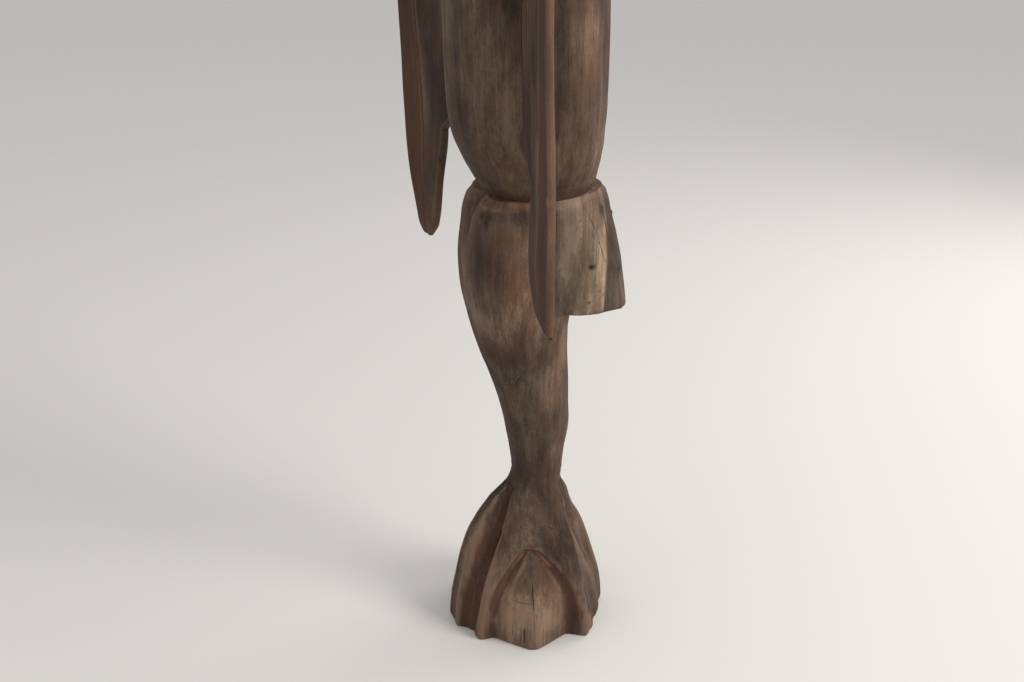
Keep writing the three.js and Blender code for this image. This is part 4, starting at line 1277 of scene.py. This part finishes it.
# %% [markdown]
# Each wood is the same recipe with its own colours: grain, then wear, then cracks that are
# dark inside and sunk by a bump. The tail is greyer and paler, because its broad sides face
# the sun. The dowels are a lighter new wood, the eyes a dark oiled one.

# %% Woods
def wood(name, dark, middle, pale, lightness=0.0, offset=(0, 0, 0), cracks=(),
         crack_amount=0.5, edge=0.7, hollow=0.7, depth=0.0011, roughness_shift=0.0):
    material, tree, shader = new_material(name)

    def group(node_tree, sockets):
        return add(tree, "ShaderNodeGroup", sockets, node_tree=node_tree).outputs

    tone = add(tree, "ShaderNodeAttribute", attribute_name="tone").outputs["Fac"]
    brightness = calculate(tree, "MULTIPLY_ADD", tone, 0.9, 1.0)
    colours = {"Dark": rgba(*dark), "Middle": rgba(*middle), "Pale": rgba(*pale)}
    grain = group(GRAIN, {**colours, "Offset": offset, "Lightness": lightness})
    toned = vector_math(tree, "SCALE", grain["Color"], brightness)
    worn = group(WEAR, {"Color": toned, "Edge Amount": edge, "Hollow Amount": hollow})
    cracked = group(DRYING_CRACKS, {"Offset": offset, "Amount": crack_amount})["Mask"]
    for start, end, inward, width in cracks:
        line = {
            "Start": [v * MM for v in start],
            "End": [v * MM for v in end],
            "Inward": Vector(inward).normalized(),
            "Width": width * MM,
        }
        cracked = calculate(tree, "MAXIMUM", cracked, group(ONE_CRACK, line)["Mask"])
    darkening = calculate(tree, "MULTIPLY", cracked, 0.85)
    colour = mix_colour(tree, darkening, worn["Color"], rgba(30, 18, 12))
    tree.links.new(colour, shader.inputs["Base Color"])
    dryness = calculate(tree, "ADD", worn["Roughness"], roughness_shift)
    tree.links.new(dryness, shader.inputs["Roughness"])
    height = calculate(tree, "MULTIPLY_ADD", cracked, -1.6, grain["Height"])
    bump = add(tree, "ShaderNodeBump", {"Height": height, "Distance": depth, "Strength": 0.85})
    tree.links.new(bump.outputs["Normal"], shader.inputs["Normal"])
    shader.inputs["Specular IOR Level"].default_value = 0.35
    return material


LOG = {"dark": (48, 34, 24), "middle": (80, 62, 49), "pale": (118, 98, 81)}
LEG_CRACKS = [
    ((31, -10.4, 264), (32.2, -17, 238), (0.6, -0.75, 0.2), 1.1),
    ((98, -29, 112), (112.6, -32, 66), (0.9, -0.25, 0.3), 1.3),
    ((112.6, -32, 68), (122, -33, 2), (0.95, -0.25, 0.1), 0.5),
    ((76, -24, 150), (98, -29, 110), (0.85, -0.25, 0.45), 0.5),
    ((93, -56, 79), (109.4, -30, 78), (0.85, -0.5, 0.25), 0.5),
]
log_wood = wood("weathered_log_wood", **LOG, lightness=0.02, cracks=LEG_CRACKS)
torso_wood = wood(
    "weathered_torso_wood", **LOG, lightness=0.02, offset=(3.1, 1.7, 0.4), crack_amount=0.35,
)
head_wood = wood("weathered_head_wood", **LOG, offset=(5.3, 0.9, 1.1))
tail_wood = wood(
    "sun_bleached_tail_wood", dark=(74, 58, 45), middle=(118, 98, 81), pale=(172, 150, 128),
    lightness=0.03, offset=(1.3, 4.4, 0.2), crack_amount=0.6,
    cracks=[
        ((98.4, 55, 711), (96, 72, 678), (1, 0.1, 0), 0.6),
        ((96, 72, 678), (94, 86, 634), (1, 0.2, 0), 0.6),
        ((92, 82, 718), (93, 90, 672), (0.95, 0.3, 0), 1.1),
        ((93, 90, 672), (90, 95, 660), (0.95, 0.3, 0), 0.8),
    ],
)
wing_wood = wood(
    "wing_board_wood", dark=(46, 29, 20), middle=(74, 53, 40), pale=(104, 81, 63),
    offset=(7.7, 2.3, 0.6), crack_amount=0.25, edge=0.3,
)
beak_wood = wood(
    "beak_wood", dark=(46, 34, 28), middle=(72, 56, 45), pale=(110, 90, 74), offset=(2.9, 6.1, 0.3),
)
eye_wood = wood(
    "oiled_eye_wood", dark=(20, 14, 11), middle=(34, 24, 18), pale=(58, 42, 32),
    crack_amount=0.0, depth=0.0002, roughness_shift=-0.5,
)
dowel_wood = wood(
    "dowel_wood", dark=(120, 92, 62), middle=(158, 126, 88), pale=(186, 156, 116),
    offset=(0.4, 0.8, 2.0), crack_amount=0.1, depth=0.0004,
)


def rusted_iron():
    material, tree, shader = new_material("rusted_nail_iron")
    crust = noise_texture(tree, stretched(tree, (900, 900, 900)), detail=6.0)["Fac"]
    share = ramp_between(tree, crust, 0.4, 0.62)
    colour = mix_colour(tree, share, rgba(34, 26, 22), rgba(92, 48, 28))
    tree.links.new(colour, shader.inputs["Base Color"])
    tree.links.new(calculate(tree, "SUBTRACT", 0.8, share, clamp=True), shader.inputs["Metallic"])
    tree.links.new(calculate(tree, "MULTIPLY_ADD", share, 0.4, 0.5), shader.inputs["Roughness"])
    bump = add(tree, "ShaderNodeBump", {"Height": crust, "Distance": 0.0004})
    tree.links.new(bump.outputs["Normal"], shader.inputs["Normal"])
    return material


nails = forge_nails(rusted_iron())
for bored in (tail_skin, leg_skin):
    cut_with(bored, cutters_for(["tail_dowel_1", "tail_dowel_2"]))
print("woods ready")

# %% [markdown]
# Each finished piece now takes the place of its CAD node, and the dowels stay as CAD pieces
# with a better wood.

# %% Put the finished pieces on the frame
FINISHED = [
    (leg_skin, log_wood, "weathered_wood", ["leg_and_foot"]),
    (torso_skin, torso_wood, "weathered_wood", ["torso"]),
    (tail_skin, tail_wood, "weathered_wood", ["tail_block"]),
    (head_skin, head_wood, "weathered_wood", ["head"]),
    (upper_beak, beak_wood, "wing_wood", ["upper_beak"]),
    (lower_beak, beak_wood, "wing_wood", ["lower_beak"]),
    (inner_boards[0], wing_wood, "wing_wood", ["left_wing_inner_board"]),
    (inner_boards[1], wing_wood, "wing_wood", ["right_wing_inner_board"]),
    (outer_boards[0], wing_wood, "wing_wood", ["left_wing_outer_board"]),
    (outer_boards[1], wing_wood, "wing_wood", ["right_wing_outer_board"]),
    (left_eye, eye_wood, "dark_wood", ["left_eye"]),
    (right_eye, eye_wood, "dark_wood", ["right_eye"]),
    (nails, None, "rusted_iron", ["tail_nail_1", "tail_nail_2"]),
]
for piece, material, slot_name, replaced in FINISHED:
    if material:
        piece.data.materials.clear()
        piece.data.materials.append(material)
    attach(piece, "root")
    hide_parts(*replaced)
for name, node in nodes.items():
    if "dowel" in name:
        node.data.materials.clear()
        node.data.materials.append(dowel_wood)
print(len(FINISHED), "finished pieces,", sum("dowel" in name for name in nodes), "dowels")
